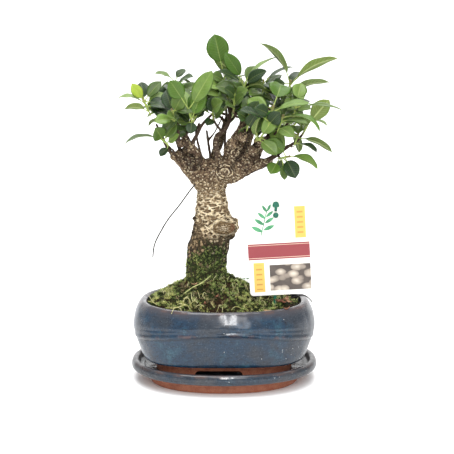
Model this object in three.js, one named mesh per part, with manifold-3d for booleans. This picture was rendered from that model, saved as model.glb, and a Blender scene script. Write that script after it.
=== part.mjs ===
// A small fig bonsai in a glazed oval pot that stands on its saucer, with its plant label.
//
// Lengths are millimetres and angles are degrees. +Z is up, +X runs along the pot's long side
// and +Y points to its back. The origin is the middle of the saucer's underside.

import * as THREE from "three";
import { mergeVertices } from "three/addons/utils/BufferGeometryUtils.js";
import Module from "manifold-3d";

const wasm = await Module();
wasm.setup();

// ------------------------------------------------------------------ driving dimensions

const GAP = 0.3; // clearance between two pieces that touch
const DEPTH_RATIO = 0.78; // front-to-back size of the ovals over their width
const OVAL_SEGMENTS = 28;

// Profiles are [half-width, height] pairs, from the axis below, round the outside, to the axis.
const SAUCER_FLOOR = 16;
const SAUCER_SQUARENESS = 2.2; // superellipse exponent of the plan; 2 is an ellipse
const SAUCER_PROFILE = [
  [0, 0], [81, 0], [82.5, 1.5], [84, 10.5], [96.5, 12.3], [100.5, 14.5], [101.4, 18],
  [100.4, 22.3], [98, 24], [95, 23.3], [92, SAUCER_FLOOR], [0, SAUCER_FLOOR],
];

const POT_FLOOR = 31; // height of the floor inside the pot
const POT_UNDERSIDE = 24;
const POT_BASE_SQUARENESS = 3.2;
const POT_RIM_SQUARENESS = 2.3;
const SQUARE_BELOW = 30; // the plan goes from the base's shape to the rim's between
const ROUND_ABOVE = 62; // these two heights
const POT_OUTSIDE = [
  [75, POT_UNDERSIDE], [76, 28.2], [85.5, 29], [88.6, 31.4], [93.3, 42], [96.5, 49],
  [98, 51], [100, 59], [99.4, 69], [97.6, 77], [94.6, 84], [91.4, 88.6], [88.6, 90],
];
const POT_INSIDE = [
  [85.6, 89], [84.2, 87], [91.2, 72], [91.6, 58], [83, 37], [77, POT_FLOOR],
];
// The groove under the belly is a shallow bow: it stands highest on the two long sides.
const GROOVE = { height: 50, lowest: 31, highest: 88, rise: 14 };
const FOOT = { outside: 74.5, inside: 66, bottom: SAUCER_FLOOR };
const LONG_ARCH = { from: -31, to: 20, top: 23.4 }; // gaps between the feet
const SHORT_ARCH = { from: -13, to: 13, top: 23 };

const DRAIN_HOLES = [-38, 38]; // X of their centres
const DRAIN_RADIUS = 7.5;
const MESH_PLATE = { size: 24, thickness: 0.8, cells: 2, bar: 2 };

const MOSS_HALF_WIDTH = 83.6;
const MOSS_THICKNESS = 4.5;
const MOUND = { x: -14, edge: 86, height: 37, reach: 74, steepness: 1.2, depth: 0.8 };
const SWELL = { x: 64, y: -26, height: 8, reach: 24 }; // a lesser one under the label

// The label is a plastic card, buttoned to a pick that stands in the soil behind it.
const LABEL = { width: 66, height: 101.5, thickness: 0.9, corner: 4, x: 61.2, y: -33, bottom: 100.8 };
const LABEL_LEAN = 3.2; // its top leans to the left
const PICK = { x: 54.8, radius: 1.6, point: 52, tip: 5 };
const BUTTON_HEIGHT = 187.2;
const BUTTON_PROFILE = [[0, 0], [3.4, 0], [3.4, 1.2], [2.5, 2.3], [0, 2.7]];
const HOOK = { height: 192.8, thickness: 2.2 }; // the flat end that grips the card's top hole
const HOOK_OUTLINE = [
  [-1.7, -1.8], [1.7, -1.8], [1.7, 3.4], [3.5, 3.4], [3.2, 6.6], [1.6, 9], [-1.6, 9], [-3.2, 6.6],
  [-3.5, 3.4], [-1.7, 3.4],
];

// The trunk's rings: [height, centre X, half-width, half-depth].
const TRUNK_SIDES = 16;
const TRUNK = [
  [60, -19.5, 22, 19], [125, -19.5, 22, 19], [136, -19, 21.8, 19.2], [147, -17, 22.4, 19.5],
  [158, -14, 21.8, 19.5], [169, -12.8, 20.8, 18.5], [180, -11.7, 19.7, 17.5],
  [190, -12.4, 18, 16.5], [200, -13, 16.5, 15.8], [210, -13.2, 16, 15.5], [218, -13.5, 19, 17],
  [228, -12, 25, 19], [236, -10, 22, 17], [243, -8, 12, 10],
];
const BURIED_RINGS = 2; // the lowest rings stand in the soil, and have no bumps
const BURLS = [
  // the big scar that looks to the front right, and two knots above it
  { centre: [-2, -11, 170], radii: [18.5, 12, 9] },
  { centre: [1, -14, 233], radii: [11.5, 7, 10.5] },
  { centre: [9, -10, 252], radii: [10, 9, 10] },
];

// Each limb runs through [X, Y, Z, radius] points.
const LIMB_SIDES = 7;
const LIMBS = {
  left: [[-21, -2, 216, 13], [-32, -6, 232, 11], [-42, -8, 244, 9], [-47, -8, 254, 7.5]],
  leftOuter: [[-36, -12, 227, 4], [-48, -16, 241, 3], [-56, -18, 251, 2.2]],
  leftInner: [
    [-19, -8, 228, 7], [-23, -14, 241, 5], [-30, -16, 252, 4.5], [-37, -16, 260, 4.2],
    [-40, -14, 267, 3.5], [-46, -12, 274, 2.6],
  ],
  backLeft: [[-20, 6, 222, 9], [-31, 24, 236, 7], [-40, 38, 251, 5], [-45, 50, 266, 3.5]],
  middle: [
    [-3, -12, 237, 5.5], [-7, -14, 250, 3.6], [-9, -14, 261, 3.2], [-7, -12, 269, 3],
    [0, -8, 274, 2.6], [6, -4, 285, 2],
  ],
  right: [
    [-2, -2, 226, 12], [8, -4, 242, 12.5], [15, -4, 259, 9.5], [20, -2, 276, 7],
    [24, 2, 288, 4.6],
  ],
  rightStub: [[7, -2, 228, 9], [23, -8, 239, 11], [33, -10, 252, 8.5], [40, -8, 261, 5.5]],
  rightLow: [
    [6, -6, 221, 6], [27, -14, 232, 5], [43, -18, 242, 3.2], [56, -20, 250, 2.3],
    [68, -18, 259, 1.8],
  ],
  backRight: [[0, 8, 221, 10], [13, 26, 239, 8], [24, 40, 255, 6], [31, 52, 270, 4]],
  backMiddle: [[-11, 10, 228, 7], [-9, 30, 247, 5], [-2, 46, 264, 3.6], [2, 56, 281, 2.6]],
  innerRight: [[20, -6, 266, 4], [33, -10, 278, 2.6], [38, -10, 289, 2.3], [45, -8, 299, 2]],
};
const BARK_ROUGHNESS = 0.07; // random change of a ring's radius

// Thin bare twigs between the limbs, and the aerial root that hangs on the left.
const TWIG_SIDES = 4;
const BARE_TWIGS = [
  [[-24, -10, 246, 1.6], [-28, -11, 262, 1.3], [-30, -12, 274, 1.2], [-26, -14, 284, 1]],
  [[-14, 10, 230, 2.4], [-15, 12, 246, 1.6], [-17, 13, 258, 1.5], [-19, 14, 273, 1.3]],
  [[-17, 13, 262, 1.2], [-10, 12, 271, 1], [-1, 8, 289, 0.9]],
  [[2, 6, 240, 2], [1, 5, 262, 1.4], [2, 4, 280, 1.2]],
];
const AERIAL_ROOT_SIDES = 4;
const AERIAL_ROOT = [
  [-25, -8, 222, 0.7], [-31, -13, 217, 0.6], [-37, -15, 210, 0.6], [-48, -17, 195, 0.55],
  [-60, -18, 180, 0.55], [-69, -18, 165, 0.5], [-75, -17, 152, 0.5], [-77, -16, 138, 0.5],
];

// A leafy shoot stands on the end of a woody twig that grows from a limb, at a share of the
// limb's length. It runs straight from its base to its tip. Its leaves are
// [share along the shoot, X, Y, Z from there to the leaf's end, face, arch, width, stalk].
// Face is the way its upper side looks: 0 is up, 90 to the front and -90 to the back. Arch is
// how far the leaf bends over from end to end. Stalk is the stalk's share of its length.
const SHOOTS = [
  { name: "shoot_left_end", limb: "leftOuter", at: 0.95, base: [-72, -14, 282], tip: [-85, -14, 307],
    leaves: [
      [1, -12, -4, 18, 90, 20, 10, 0.15], [0.85, -27, -8, 10, 5, 60, 11],
      [0.5, -26, -10, 4, -30, 60, 11], [0.9, -5, 14, 21, 60, 40, 12], [0.95, 18, 6, 21, 60, 30, 11],
      [0.8, 18, 12, 12, 40, 40, 11], [0.7, 21, -20, 0, 30, 60, 13],
    ] },
  { name: "shoot_left_low", limb: "leftOuter", at: 0.7, base: [-55, -24, 257], tip: [-66, -26, 267],
    leaves: [
      [0.98, -39, -4, -5, 0, 65, 11], [0.85, -7, -18, 15, 70, 25, 16],
      [0.2, -10, -6, -10, 40, 45, 8], [0.5, 14, -13, 11, 60, 30, 9],
    ] },
  { name: "shoot_left_mid", limb: "left", at: 1, base: [-48, -34, 277], tip: [-53, -38, 295],
    leaves: [
      [1, 11, -10, 20, 90, 25, 14], [0.9, -8, 10, 25, 75, 30, 13], [0.6, -21, -12, -1, 50, 50, 12],
      [0.5, -8, -24, 8, 60, 45, 12],
    ] },
  { name: "shoot_left_front", limb: "leftInner", at: 0.8, base: [-32, -40, 284], tip: [-36, -44, 299],
    leaves: [
      [1, -21, -8, 31, 80, 35, 17, 0.42], [0.95, 24, -6, 41, 75, 35, 17, 0.22],
      [0.5, 8, 6, 26, 60, 30, 14], [0.3, -1, -7, -14, 60, 40, 10],
    ] },
  { name: "shoot_left_crest", limb: "backLeft", at: 0.9, base: [-50, 24, 305], tip: [-54, 22, 327],
    leaves: [
      [1, -21, -4, 7, 20, 40, 11], [0.95, 12, 6, 12, 30, 35, 9], [0.8, -16, 8, -6, 45, 30, 10],
      [0.7, 20, -15, 10, 20, 40, 12],
    ] },
  { name: "shoot_middle_crest", limb: "right", at: 1, base: [21, -6, 303], tip: [21, -8, 327],
    leaves: [
      [1, -20, -6, 30, 85, 35, 13], [0.95, -33, 8, 26, -70, 35, 12],
      [0.8, -28, -16, 16, 40, 40, 10], [0.95, 35, 8, 26, 0, 35, 10], [0.8, 24, -16, 16, 60, 50, 12],
      [0.85, 9, 18, 20, 60, 30, 10], [0.6, 22, -21, 2, -40, 95, 12],
    ] },
  { name: "shoot_top", limb: "middle", at: 1, base: [4, 2, 302], tip: [1, 0, 328],
    leaves: [
      [1, -11, -2, 48, 95, 12, 23, 0.4], [0.9, -15, -6, 8, 50, 40, 12],
      [0.65, -21, -17, 6, 50, 45, 13], [0.45, -18, -25, 5, 60, 40, 14],
      [0.25, -14, -22, 2, 75, 30, 13], [0.8, 11, 16, 17, 50, 30, 12],
    ] },
  { name: "shoot_right_top", limb: "right", at: 0.85, base: [64, 2, 300], tip: [70, 0, 323],
    leaves: [
      [1, -35, -4, 42, 0, 60, 12], [0.9, 51, -8, 30, -35, 60, 14], [0.85, 17, 10, 22, 10, 40, 11],
      [0.5, 45, -13, 14, -10, 45, 11],
    ] },
  { name: "shoot_right_crest", limb: "right", at: 0.95, base: [41, 8, 302], tip: [42, 8, 323],
    leaves: [
      [1, 34, 6, 18, 5, 45, 10], [0.8, -14, 6, 15, 40, 40, 12], [0.6, 21, 14, 18, 20, 40, 12],
      [0.5, -15, -28, 0, 50, 40, 13],
    ] },
  { name: "shoot_right_front", limb: "innerRight", at: 1, base: [46, -44, 283], tip: [50, -46, 299],
    leaves: [
      [1, 10, 26, 25, 80, 70, 24, 0.38], [0.8, 40, -6, 10, 30, 45, 11],
      [0.05, 11, -18, 14, 80, 30, 15], [0.6, -17, -11, 9, 60, 40, 12],
    ] },
  { name: "shoot_right_side", limb: "rightStub", at: 1, base: [72, -16, 289], tip: [76, -18, 304],
    leaves: [
      [1, 7, 14, 18, 80, 40, 15], [0.9, 17, 20, 2, -20, 40, 9], [0.6, 50, -5, -1, 0, 45, 10],
      [0.4, 17, -17, 4, 40, 40, 12],
    ] },
  { name: "shoot_right_arch", limb: "rightStub", at: 0.9, base: [55, -36, 276], tip: [60, -40, 289],
    leaves: [
      [1, 39, -10, -12, -10, 95, 14], [0.8, 27, -19, -1, 20, 40, 11],
      [0.3, 15, -21, -8, 60, 45, 13],
    ] },
  { name: "shoot_right_hook", limb: "rightLow", at: 0.9, base: [84, -4, 270], tip: [89, -6, 280],
    leaves: [
      [1, 23, -2, 27, -75, 20, 18],
    ] },
  { name: "shoot_right_low_end", limb: "rightLow", at: 1, base: [73, -18, 259], tip: [77, -18, 268],
    leaves: [
      [0.9, 38, -6, -15, -30, 55, 12], [0.3, 23, -14, -8, -20, 45, 12], [1, 12, 20, 6, 30, 40, 11],
    ] },
  { name: "shoot_right_low", limb: "rightLow", at: 0.75, base: [59, -28, 248], tip: [65, -32, 249],
    leaves: [
      [1, 33, -8, -12, 20, 65, 14], [0.8, 11, -13, -21, 60, 35, 16],
      [0.1, -11, -16, -16, 60, 40, 13, 0.45], [0.2, -1, 5, -12, 60, 30, 7],
      [0.3, 3, -3, -24, 20, 30, 8, 0.35], [0.5, 8, 10, -18, 20, 30, 7, 0.35],
    ] },
  { name: "shoot_right_inner", limb: "rightStub", at: 0.7, base: [40, -38, 270], tip: [35, -44, 268],
    leaves: [
      [0.9, 19, -13, -15, 50, 45, 14], [0.3, 24, 0, -14, 70, 35, 15],
    ] },
  { name: "shoot_centre_front", limb: "right", at: 0.8, base: [24, -32, 278], tip: [27, -36, 290],
    leaves: [
      [0.05, 9, -14, 16, 75, 35, 12], [1, 9, -8, 18, 60, 35, 12], [0.8, -11, -11, 6, 70, 35, 11],
      [0.9, -4, 12, 22, 60, 35, 12],
    ] },
  { name: "shoot_centre_left", limb: "middle", at: 0.7, base: [-11, -10, 286], tip: [-13, -14, 301],
    leaves: [
      [0.3, -2, -13, 21, 85, 25, 11], [1, 13, -4, 9, 60, 35, 12], [0.1, 12, -16, 10, 60, 40, 11],
      [0.1, -7, -10, -7, 50, 40, 9],
    ] },
  { name: "shoot_left_inner", limb: "leftInner", at: 1, base: [-36, -18, 279], tip: [-30, -22, 290],
    leaves: [
      [0.9, -14, -18, 7, 40, 45, 11], [1, 11, -12, 10, 45, 40, 11], [0.4, -16, -4, 2, 55, 40, 10],
    ] },
  { name: "shoot_centre_high", limb: "right", at: 0.9, base: [10, -18, 295], tip: [12, -22, 310],
    leaves: [
      [1, -12, -16, 11, 60, 40, 12], [0.9, 13, -12, 11, 60, 40, 12], [0.8, 3, -9, 20, 70, 30, 12],
      [0.4, -9, -14, 2, 50, 40, 11],
    ] },
];

// The shoots inside and behind the crown have their leaves set by a spiral rule instead.
const BACK_SHOOTS = [
  { limb: "backLeft", at: 1, base: [-56, 54, 284], tip: [-62, 56, 300] },
  { limb: "backLeft", at: 0.9, base: [-34, 58, 290], tip: [-32, 62, 308] },
  { limb: "backLeft", at: 0.75, base: [-60, 34, 284], tip: [-66, 38, 300] },
  { limb: "backMiddle", at: 1, base: [2, 60, 298], tip: [2, 62, 314] },
  { limb: "backMiddle", at: 0.9, base: [-14, 50, 296], tip: [-18, 50, 312] },
  { limb: "backMiddle", at: 0.8, base: [14, 66, 288], tip: [18, 74, 300] },
  { limb: "backRight", at: 1, base: [42, 58, 284], tip: [46, 62, 300] },
  { limb: "backRight", at: 0.9, base: [58, 46, 278], tip: [70, 50, 290] },
  { limb: "backRight", at: 0.95, base: [26, 46, 292], tip: [28, 44, 310] },
  { limb: "rightStub", at: 1, base: [60, 14, 286], tip: [66, 20, 302] },
  { limb: "rightStub", at: 0.9, base: [70, 24, 272], tip: [84, 30, 282] },
  { limb: "right", at: 0.9, base: [4, 24, 300], tip: [2, 28, 318] },
  { limb: "left", at: 1, base: [-54, 12, 284], tip: [-56, 16, 300] },
  { limb: "leftInner", at: 1, base: [-30, 8, 286], tip: [-30, 10, 303] },
  { limb: "middle", at: 1, base: [-8, 24, 298], tip: [-10, 27, 311] },
  { limb: "right", at: 1, base: [30, 22, 300], tip: [32, 24, 318] },
];
const BACK_LEAVES = 4;
const GOLDEN_ANGLE = 137.5; // turn from one leaf of a spiral to the next

const TWIG_TIP = 1.3; // radius where a twig meets its shoot
const SHOOT_TIP = 0.9;
const LEAF = { thickness: 1.2, stalk: 0.22, fold: 14, stalkRadius: 0.65, tip: 0.45 };
const FRONT_STATIONS = [0.2, 0.5, 0.8]; // shares of the blade where its outline has corners
const BACK_STATIONS = [0.3, 0.72];

// A leaf that would meet something is turned aside, a little further each time.
const CLEARANCE = 0.7;
const FREE_ROOT = 3.5; // this much of its stalk may lie against its neighbours'
const MOST_TRIES = 60;
const TURN_STEP = 4;

// ------------------------------------------------------------------ small helpers

const vector = (point) => new THREE.Vector3(point[0], point[1], point[2]);
const radians = THREE.MathUtils.degToRad;
const smoothstep = (x, low, high) => THREE.MathUtils.smoothstep(x, low, high);

// Repeatable random numbers from 0 to 1.
function randomSource(seed) {
  let state = seed;
  return () => {
    state = (state + 0x6d2b79f5) | 0;
    let mixed = Math.imul(state ^ (state >>> 15), 1 | state);
    mixed = (mixed + Math.imul(mixed ^ (mixed >>> 7), 61 | mixed)) ^ mixed;
    return ((mixed ^ (mixed >>> 14)) >>> 0) / 4294967296;
  };
}

// A closed geometry as a solid that can be joined and cut.
function toSolid(geometry) {
  geometry.deleteAttribute("normal");
  geometry.deleteAttribute("uv");
  const merged = mergeVertices(geometry, 1e-4);
  const corners = [];
  const index = merged.index.array;
  for (let i = 0; i < index.length; i += 3) {
    const [a, b, c] = index.slice(i, i + 3);
    if (a !== b && b !== c && c !== a) corners.push(a, b, c);
  }
  return new wasm.Manifold(new wasm.Mesh({
    numProp: 3,
    vertProperties: merged.attributes.position.array,
    triVerts: new Uint32Array(corners),
  }));
}

function toGeometry(solid) {
  const mesh = solid.getMesh();
  const geometry = new THREE.BufferGeometry();
  geometry.setAttribute("position", new THREE.BufferAttribute(mesh.vertProperties, 3));
  geometry.setIndex(new THREE.BufferAttribute(mesh.triVerts, 1));
  geometry.computeVertexNormals();
  return geometry;
}

function joined(solids) {
  return solids.reduce((whole, solid) => whole.add(solid));
}

// A closed solid through rings of equally many points, which run anticlockwise as seen from
// the far end. Columns named in `backward` are split along their other diagonal.
function loft(rings, backward = []) {
  const sides = rings[0].length;
  const last = (rings.length - 1) * sides;
  const index = [];
  for (let row = 0; row < last; row += sides) {
    for (let side = 0; side < sides; side++) {
      const a = row + side;
      const b = row + ((side + 1) % sides);
      const c = a + sides;
      const d = b + sides;
      if (backward.includes(side)) index.push(a, b, c, b, d, c);
      else index.push(a, b, d, a, d, c);
    }
  }
  for (let side = 1; side + 1 < sides; side++) {
    index.push(0, side + 1, side);
    index.push(last, last + side, last + side + 1);
  }
  const geometry = new THREE.BufferGeometry();
  geometry.setAttribute("position", new THREE.Float32BufferAttribute(
    rings.flat().flatMap((point) => point.toArray()), 3));
  geometry.setIndex(index);
  return toSolid(geometry);
}

// ------------------------------------------------------------------ oval ware

// Squareness of the pot's plan at a height.
function potSquareness(z) {
  const share = THREE.MathUtils.clamp((z - SQUARE_BELOW) / (ROUND_ABOVE - SQUARE_BELOW), 0, 1);
  return THREE.MathUtils.lerp(POT_BASE_SQUARENESS, POT_RIM_SQUARENESS, share);
}

// A turned profile pressed into an oval. `squareness` gives the plan's exponent at a height and
// `lift` the height of a point of the finished oval, where that isn't the profile's own.
function oval(profile, squareness, lift = (x, y, z) => z) {
  const points = profile.map(([r, z]) => new THREE.Vector2(r, z));
  const geometry = new THREE.LatheGeometry(points, OVAL_SEGMENTS);
  geometry.rotateX(Math.PI / 2);
  const position = geometry.attributes.position;
  for (let i = 0; i < position.count; i++) {
    const z = position.getZ(i);
    const r = Math.hypot(position.getX(i), position.getY(i));
    const angle = Math.atan2(position.getY(i), position.getX(i));
    const power = squareness(z);
    const cos = Math.abs(Math.cos(angle)) ** power;
    const sin = Math.abs(Math.sin(angle)) ** power;
    const reach = r * (cos + sin) ** (-1 / power);
    const x = reach * Math.cos(angle);
    const y = reach * Math.sin(angle) * DEPTH_RATIO;
    position.setXYZ(i, x, y, lift(x, y, z));
  }
  return toSolid(geometry);
}

function saucer() {
  return oval(SAUCER_PROFILE, () => SAUCER_SQUARENESS);
}

// Height of the pot's outside: the groove and what lies near it rise towards the long sides.
function bowedHeight(x, y, z) {
  const rising = smoothstep(z, GROOVE.lowest, GROOVE.height);
  const falling = 1 - smoothstep(z, GROOVE.height, GROOVE.highest);
  const angle = Math.atan2(y / DEPTH_RATIO, x);
  return z + GROOVE.rise * rising * falling * Math.sin(angle) ** 2;
}

// A bar with an arched section that runs right under the pot, to part its feet.
function archCutter(arch, turn) {
  const corner = 5;
  const shape = new THREE.Shape();
  shape.moveTo(arch.from, FOOT.bottom - 2);
  shape.lineTo(arch.to, FOOT.bottom - 2);
  shape.lineTo(arch.to, arch.top - corner);
  shape.lineTo(arch.to - corner, arch.top);
  shape.lineTo(arch.from + corner, arch.top);
  shape.lineTo(arch.from, arch.top - corner);
  shape.closePath();
  const length = 240;
  const bar = new THREE.ExtrudeGeometry(shape, { depth: length, bevelEnabled: false });
  bar.translate(0, 0, -length / 2);
  bar.rotateX(Math.PI / 2);
  bar.rotateZ(radians(turn));
  return toSolid(bar);
}

function drainHole(x) {
  const drill = new THREE.CylinderGeometry(DRAIN_RADIUS, DRAIN_RADIUS, 20, 20);
  drill.rotateX(Math.PI / 2);
  drill.translate(x, 0, POT_FLOOR - 5);
  return toSolid(drill);
}

function pot() {
  const outside = oval([[0, POT_UNDERSIDE], ...POT_OUTSIDE, [0, POT_OUTSIDE.at(-1)[1]]],
    potSquareness, bowedHeight);
  const top = POT_OUTSIDE.at(-1)[1] + 2;
  const inside = oval([[0, POT_FLOOR], ...POT_INSIDE.toReversed(), [87.6, top], [0, top]],
    potSquareness);
  const ring = [[FOOT.inside, FOOT.bottom], [FOOT.outside, FOOT.bottom],
    [FOOT.outside, POT_UNDERSIDE + 1], [FOOT.inside, POT_UNDERSIDE + 1], [FOOT.inside, FOOT.bottom]];
  const feet = oval(ring, potSquareness)
    .subtract(archCutter(LONG_ARCH, 0))
    .subtract(archCutter(SHORT_ARCH, 90));
  return DRAIN_HOLES.reduce((body, x) => body.subtract(drainHole(x)),
    outside.subtract(inside).add(feet));
}

function box(size, centre) {
  const block = new THREE.BoxGeometry(...size);
  block.translate(...centre);
  return toSolid(block);
}

// A square of plastic net over a drain hole; with a margin it is the soil's pocket for it.
function meshPlate(x, margin = 0) {
  const { size, thickness, cells, bar } = MESH_PLATE;
  const height = thickness + margin;
  const plate = box([size + 2 * margin, size + 2 * margin, height], [x, 0, POT_FLOOR + height / 2]);
  if (margin > 0) return plate;
  const pitch = (size - bar) / cells;
  const holes = [];
  for (let cell = 0; cell < cells ** 2; cell++) {
    const column = (cell % cells) - (cells - 1) / 2;
    const row = Math.floor(cell / cells) - (cells - 1) / 2;
    holes.push(box([pitch - bar, pitch - bar, 3 * thickness],
      [x + pitch * column, pitch * row, POT_FLOOR]));
  }
  return plate.subtract(joined(holes));
}

// ------------------------------------------------------------------ soil and moss

// Height of the mossy mound, without its tufts.
function moundHeight(x, y) {
  const distance = Math.hypot(x - MOUND.x, y / MOUND.depth) / MOUND.reach;
  const aside = Math.hypot(x - SWELL.x, y - SWELL.y) / SWELL.reach;
  return MOUND.edge + MOUND.height * Math.max(1 - distance ** MOUND.steepness, -0.04)
    + SWELL.height * Math.exp(-(aside ** 2));
}

// Low lumps of the moss cushions.
function mossLumps(x, y) {
  return 1.1 * Math.sin(x / 6.1 + 1.3) * Math.cos(y / 5.3) + 0.7 * Math.sin((x + y) / 3.7);
}

const SHOULDER = 80; // the soil stands against the pot's wall up to here, and is mounded above

function soilBody() {
  const clear = GAP / DEPTH_RATIO;
  const wall = POT_INSIDE.slice(2).toReversed().map(([r, z]) => [r - clear, z]);
  const cover = [MOSS_HALF_WIDTH, 70, 54, 36, 18, 0].map((r) => [r, SHOULDER + 1]);
  return oval([[0, POT_FLOOR], ...wall, ...cover], potSquareness, (x, y, z) => (
    z > SHOULDER ? moundHeight(x, y) - MOSS_THICKNESS - GAP : z));
}

function soil() {
  const pockets = DRAIN_HOLES.map((x) => meshPlate(x, GAP));
  return soilBody().subtract(joined([...pockets, trunkHole(), pickStem(GAP)]));
}

// The mat is what the lumpy mound holds above the soil.
function mossMat() {
  const buried = SHOULDER - 20;
  const over = [MOSS_HALF_WIDTH, 77, 66, 55, 44, 33, 22, 0].map((r) => [r, SHOULDER + 1]);
  const mound = oval([[0, buried], [MOSS_HALF_WIDTH, buried], ...over], () => POT_RIM_SQUARENESS,
    (x, y, z) => (z > SHOULDER ? moundHeight(x, y) + mossLumps(x, y) : z));
  return mound.subtract(soilBody().translate([0, 0, GAP]))
    .subtract(trunkHole()).subtract(pickStem(GAP));
}

// The plain hole that the foot of the trunk stands in.
function trunkHole() {
  const [bottom, x, halfWidth, halfDepth] = TRUNK[0];
  const rings = [bottom - GAP, TRUNK[1][0] + 5].map((z) => (
    trunkRing([z, x, halfWidth + GAP + 0.1, halfDepth + GAP + 0.1], () => 1)));
  return loft(rings);
}

// ------------------------------------------------------------------ label

// A round bar along Y from one depth to another, through a point of the XZ plane.
function barAlongY(radius, x, z, from, to) {
  const bar = new THREE.CylinderGeometry(radius, radius, to - from, 10);
  bar.translate(x, (from + to) / 2, z);
  return toSolid(bar);
}

function plantLabel() {
  const { width, height, thickness, corner } = LABEL;
  const right = width / 2 - corner;
  const top = height - corner;
  const outline = new THREE.Shape();
  outline.absarc(right, corner, corner, -Math.PI / 2, 0);
  outline.absarc(right, top, corner, 0, Math.PI / 2);
  outline.absarc(-right, top, corner, Math.PI / 2, Math.PI);
  outline.absarc(-right, corner, corner, Math.PI, 1.5 * Math.PI);
  outline.closePath();
  const card = new THREE.ExtrudeGeometry(outline,
    { depth: thickness, bevelEnabled: false, curveSegments: 4 });
  card.translate(0, 0, -thickness / 2);
  card.rotateX(Math.PI / 2);
  card.rotateY(radians(-LABEL_LEAN));
  card.translate(LABEL.x, LABEL.y, LABEL.bottom);
  const holes = [BUTTON_HEIGHT, HOOK.height].map((z) => (
    barAlongY(PICK.radius + GAP, PICK.x, z, LABEL.y - 5, LABEL.y + 5)));
  return toSolid(card).subtract(joined(holes));
}

// The pick's round stem, from its point in the soil; with a margin it is the hole for it.
function pickStem(margin = 0) {
  const radius = PICK.radius + margin;
  const top = HOOK.height + PICK.radius;
  const profile = [[0, PICK.point - margin], [radius, PICK.point + PICK.tip], [radius, top], [0, top]];
  const stem = new THREE.LatheGeometry(profile.map(([r, z]) => new THREE.Vector2(r, z)), 10);
  stem.rotateX(Math.PI / 2);
  stem.translate(PICK.x, LABEL.y + LABEL.thickness / 2 + GAP + PICK.radius, 0);
  return toSolid(stem);
}

function labelPick() {
  const front = LABEL.y - LABEL.thickness / 2 - GAP;
  const back = LABEL.y + LABEL.thickness / 2 + GAP + PICK.radius;
  const button = new THREE.LatheGeometry(BUTTON_PROFILE.map(([r, z]) => new THREE.Vector2(r, z)), 12);
  button.rotateX(Math.PI);
  button.translate(PICK.x, front, BUTTON_HEIGHT);
  const hook = new THREE.ExtrudeGeometry(
    new THREE.Shape(HOOK_OUTLINE.map(([u, v]) => new THREE.Vector2(u, v))),
    { depth: HOOK.thickness, bevelEnabled: false });
  hook.rotateX(Math.PI / 2);
  hook.translate(PICK.x, front, HOOK.height);
  const studs = [BUTTON_HEIGHT, HOOK.height].map((z) => (
    barAlongY(PICK.radius, PICK.x, z, front - 0.5, back)));
  return joined([pickStem(), toSolid(button), toSolid(hook), ...studs]);
}

// ------------------------------------------------------------------ wood

function trunkRing([z, x, halfWidth, halfDepth], bump) {
  const ring = [];
  for (let side = 0; side < TRUNK_SIDES; side++) {
    const angle = (2 * Math.PI * side) / TRUNK_SIDES;
    const swell = bump();
    ring.push(vector([x + halfWidth * swell * Math.cos(angle), halfDepth * swell * Math.sin(angle), z]));
  }
  return ring;
}

function trunk(random) {
  const bump = () => 1 + BARK_ROUGHNESS * 0.5 * (random() - 0.5);
  return loft(TRUNK.map((ring, row) => trunkRing(ring, row < BURIED_RINGS ? () => 1 : bump)));
}

function burl({ centre, radii }) {
  const ball = new THREE.SphereGeometry(1, 10, 6);
  ball.scale(...radii);
  ball.translate(...centre);
  return toSolid(ball);
}

// Rings square to a path, without twist. `bump` scales each corner's distance from the path.
function ringsAlong(points, radii, sides, bump = () => 1) {
  const path = points.map((point, i) => {
    const before = points[Math.max(i - 1, 0)];
    const after = points[Math.min(i + 1, points.length - 1)];
    return after.clone().sub(before).normalize();
  });
  const across = new THREE.Vector3(0, -1, 0).cross(path[0]);
  if (across.length() < 0.1) across.set(1, 0, 0);
  across.normalize();
  return points.map((point, i) => {
    if (i > 0) {
      across.applyQuaternion(new THREE.Quaternion().setFromUnitVectors(path[i - 1], path[i]));
    }
    const over = path[i].clone().cross(across);
    const ring = [];
    for (let side = 0; side < sides; side++) {
      const angle = (2 * Math.PI * side) / sides;
      const reach = radii[i] * bump();
      ring.push(point.clone()
        .addScaledVector(across, reach * Math.cos(angle))
        .addScaledVector(over, reach * Math.sin(angle)));
    }
    return ring;
  });
}

function limbPath(points) {
  return new THREE.CatmullRomCurve3(points.map(vector), false, "centripetal");
}

// A limb, twig or root through [X, Y, Z, radius] points, with `steps` rings to each of them.
function wood(points, sides, steps, bump) {
  const path = limbPath(points);
  const radius = limbPath(points.map((point) => [point[3], 0, 0]));
  const count = (points.length - 1) * steps;
  const shares = Array.from({ length: count + 1 }, (_, i) => i / count);
  return loft(ringsAlong(shares.map((share) => path.getPoint(share)),
    shares.map((share) => radius.getPoint(share).x), sides, bump));
}

function shootDirection(shoot) {
  return vector(shoot.tip).sub(vector(shoot.base)).normalize();
}

// The woody twig from a limb to the base of a shoot; its end is square to the shoot.
function shootTwig(shoot) {
  const path = limbPath(LIMBS[shoot.limb]);
  const start = path.getPoint(shoot.at);
  const base = vector(shoot.base);
  const reach = start.distanceTo(base);
  const away = path.getTangent(shoot.at);
  const along = shootDirection(shoot);
  const curve = new THREE.CubicBezierCurve3(start, start.clone().addScaledVector(away, reach * 0.35),
    base.clone().addScaledVector(along, -reach * 0.4), base);
  const steps = 3;
  const thick = Math.min(2.3, 1.3 + reach / 40);
  const rings = ringsAlong(curve.getPoints(steps),
    Array.from({ length: steps + 1 }, (_, i) => THREE.MathUtils.lerp(thick, TWIG_TIP, i / steps)),
    TWIG_SIDES);
  rings[steps] = ringsAlong([base, base.clone().add(along)], [TWIG_TIP, TWIG_TIP], TWIG_SIDES)[0];
  return loft(matchedEnds(rings));
}

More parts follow.
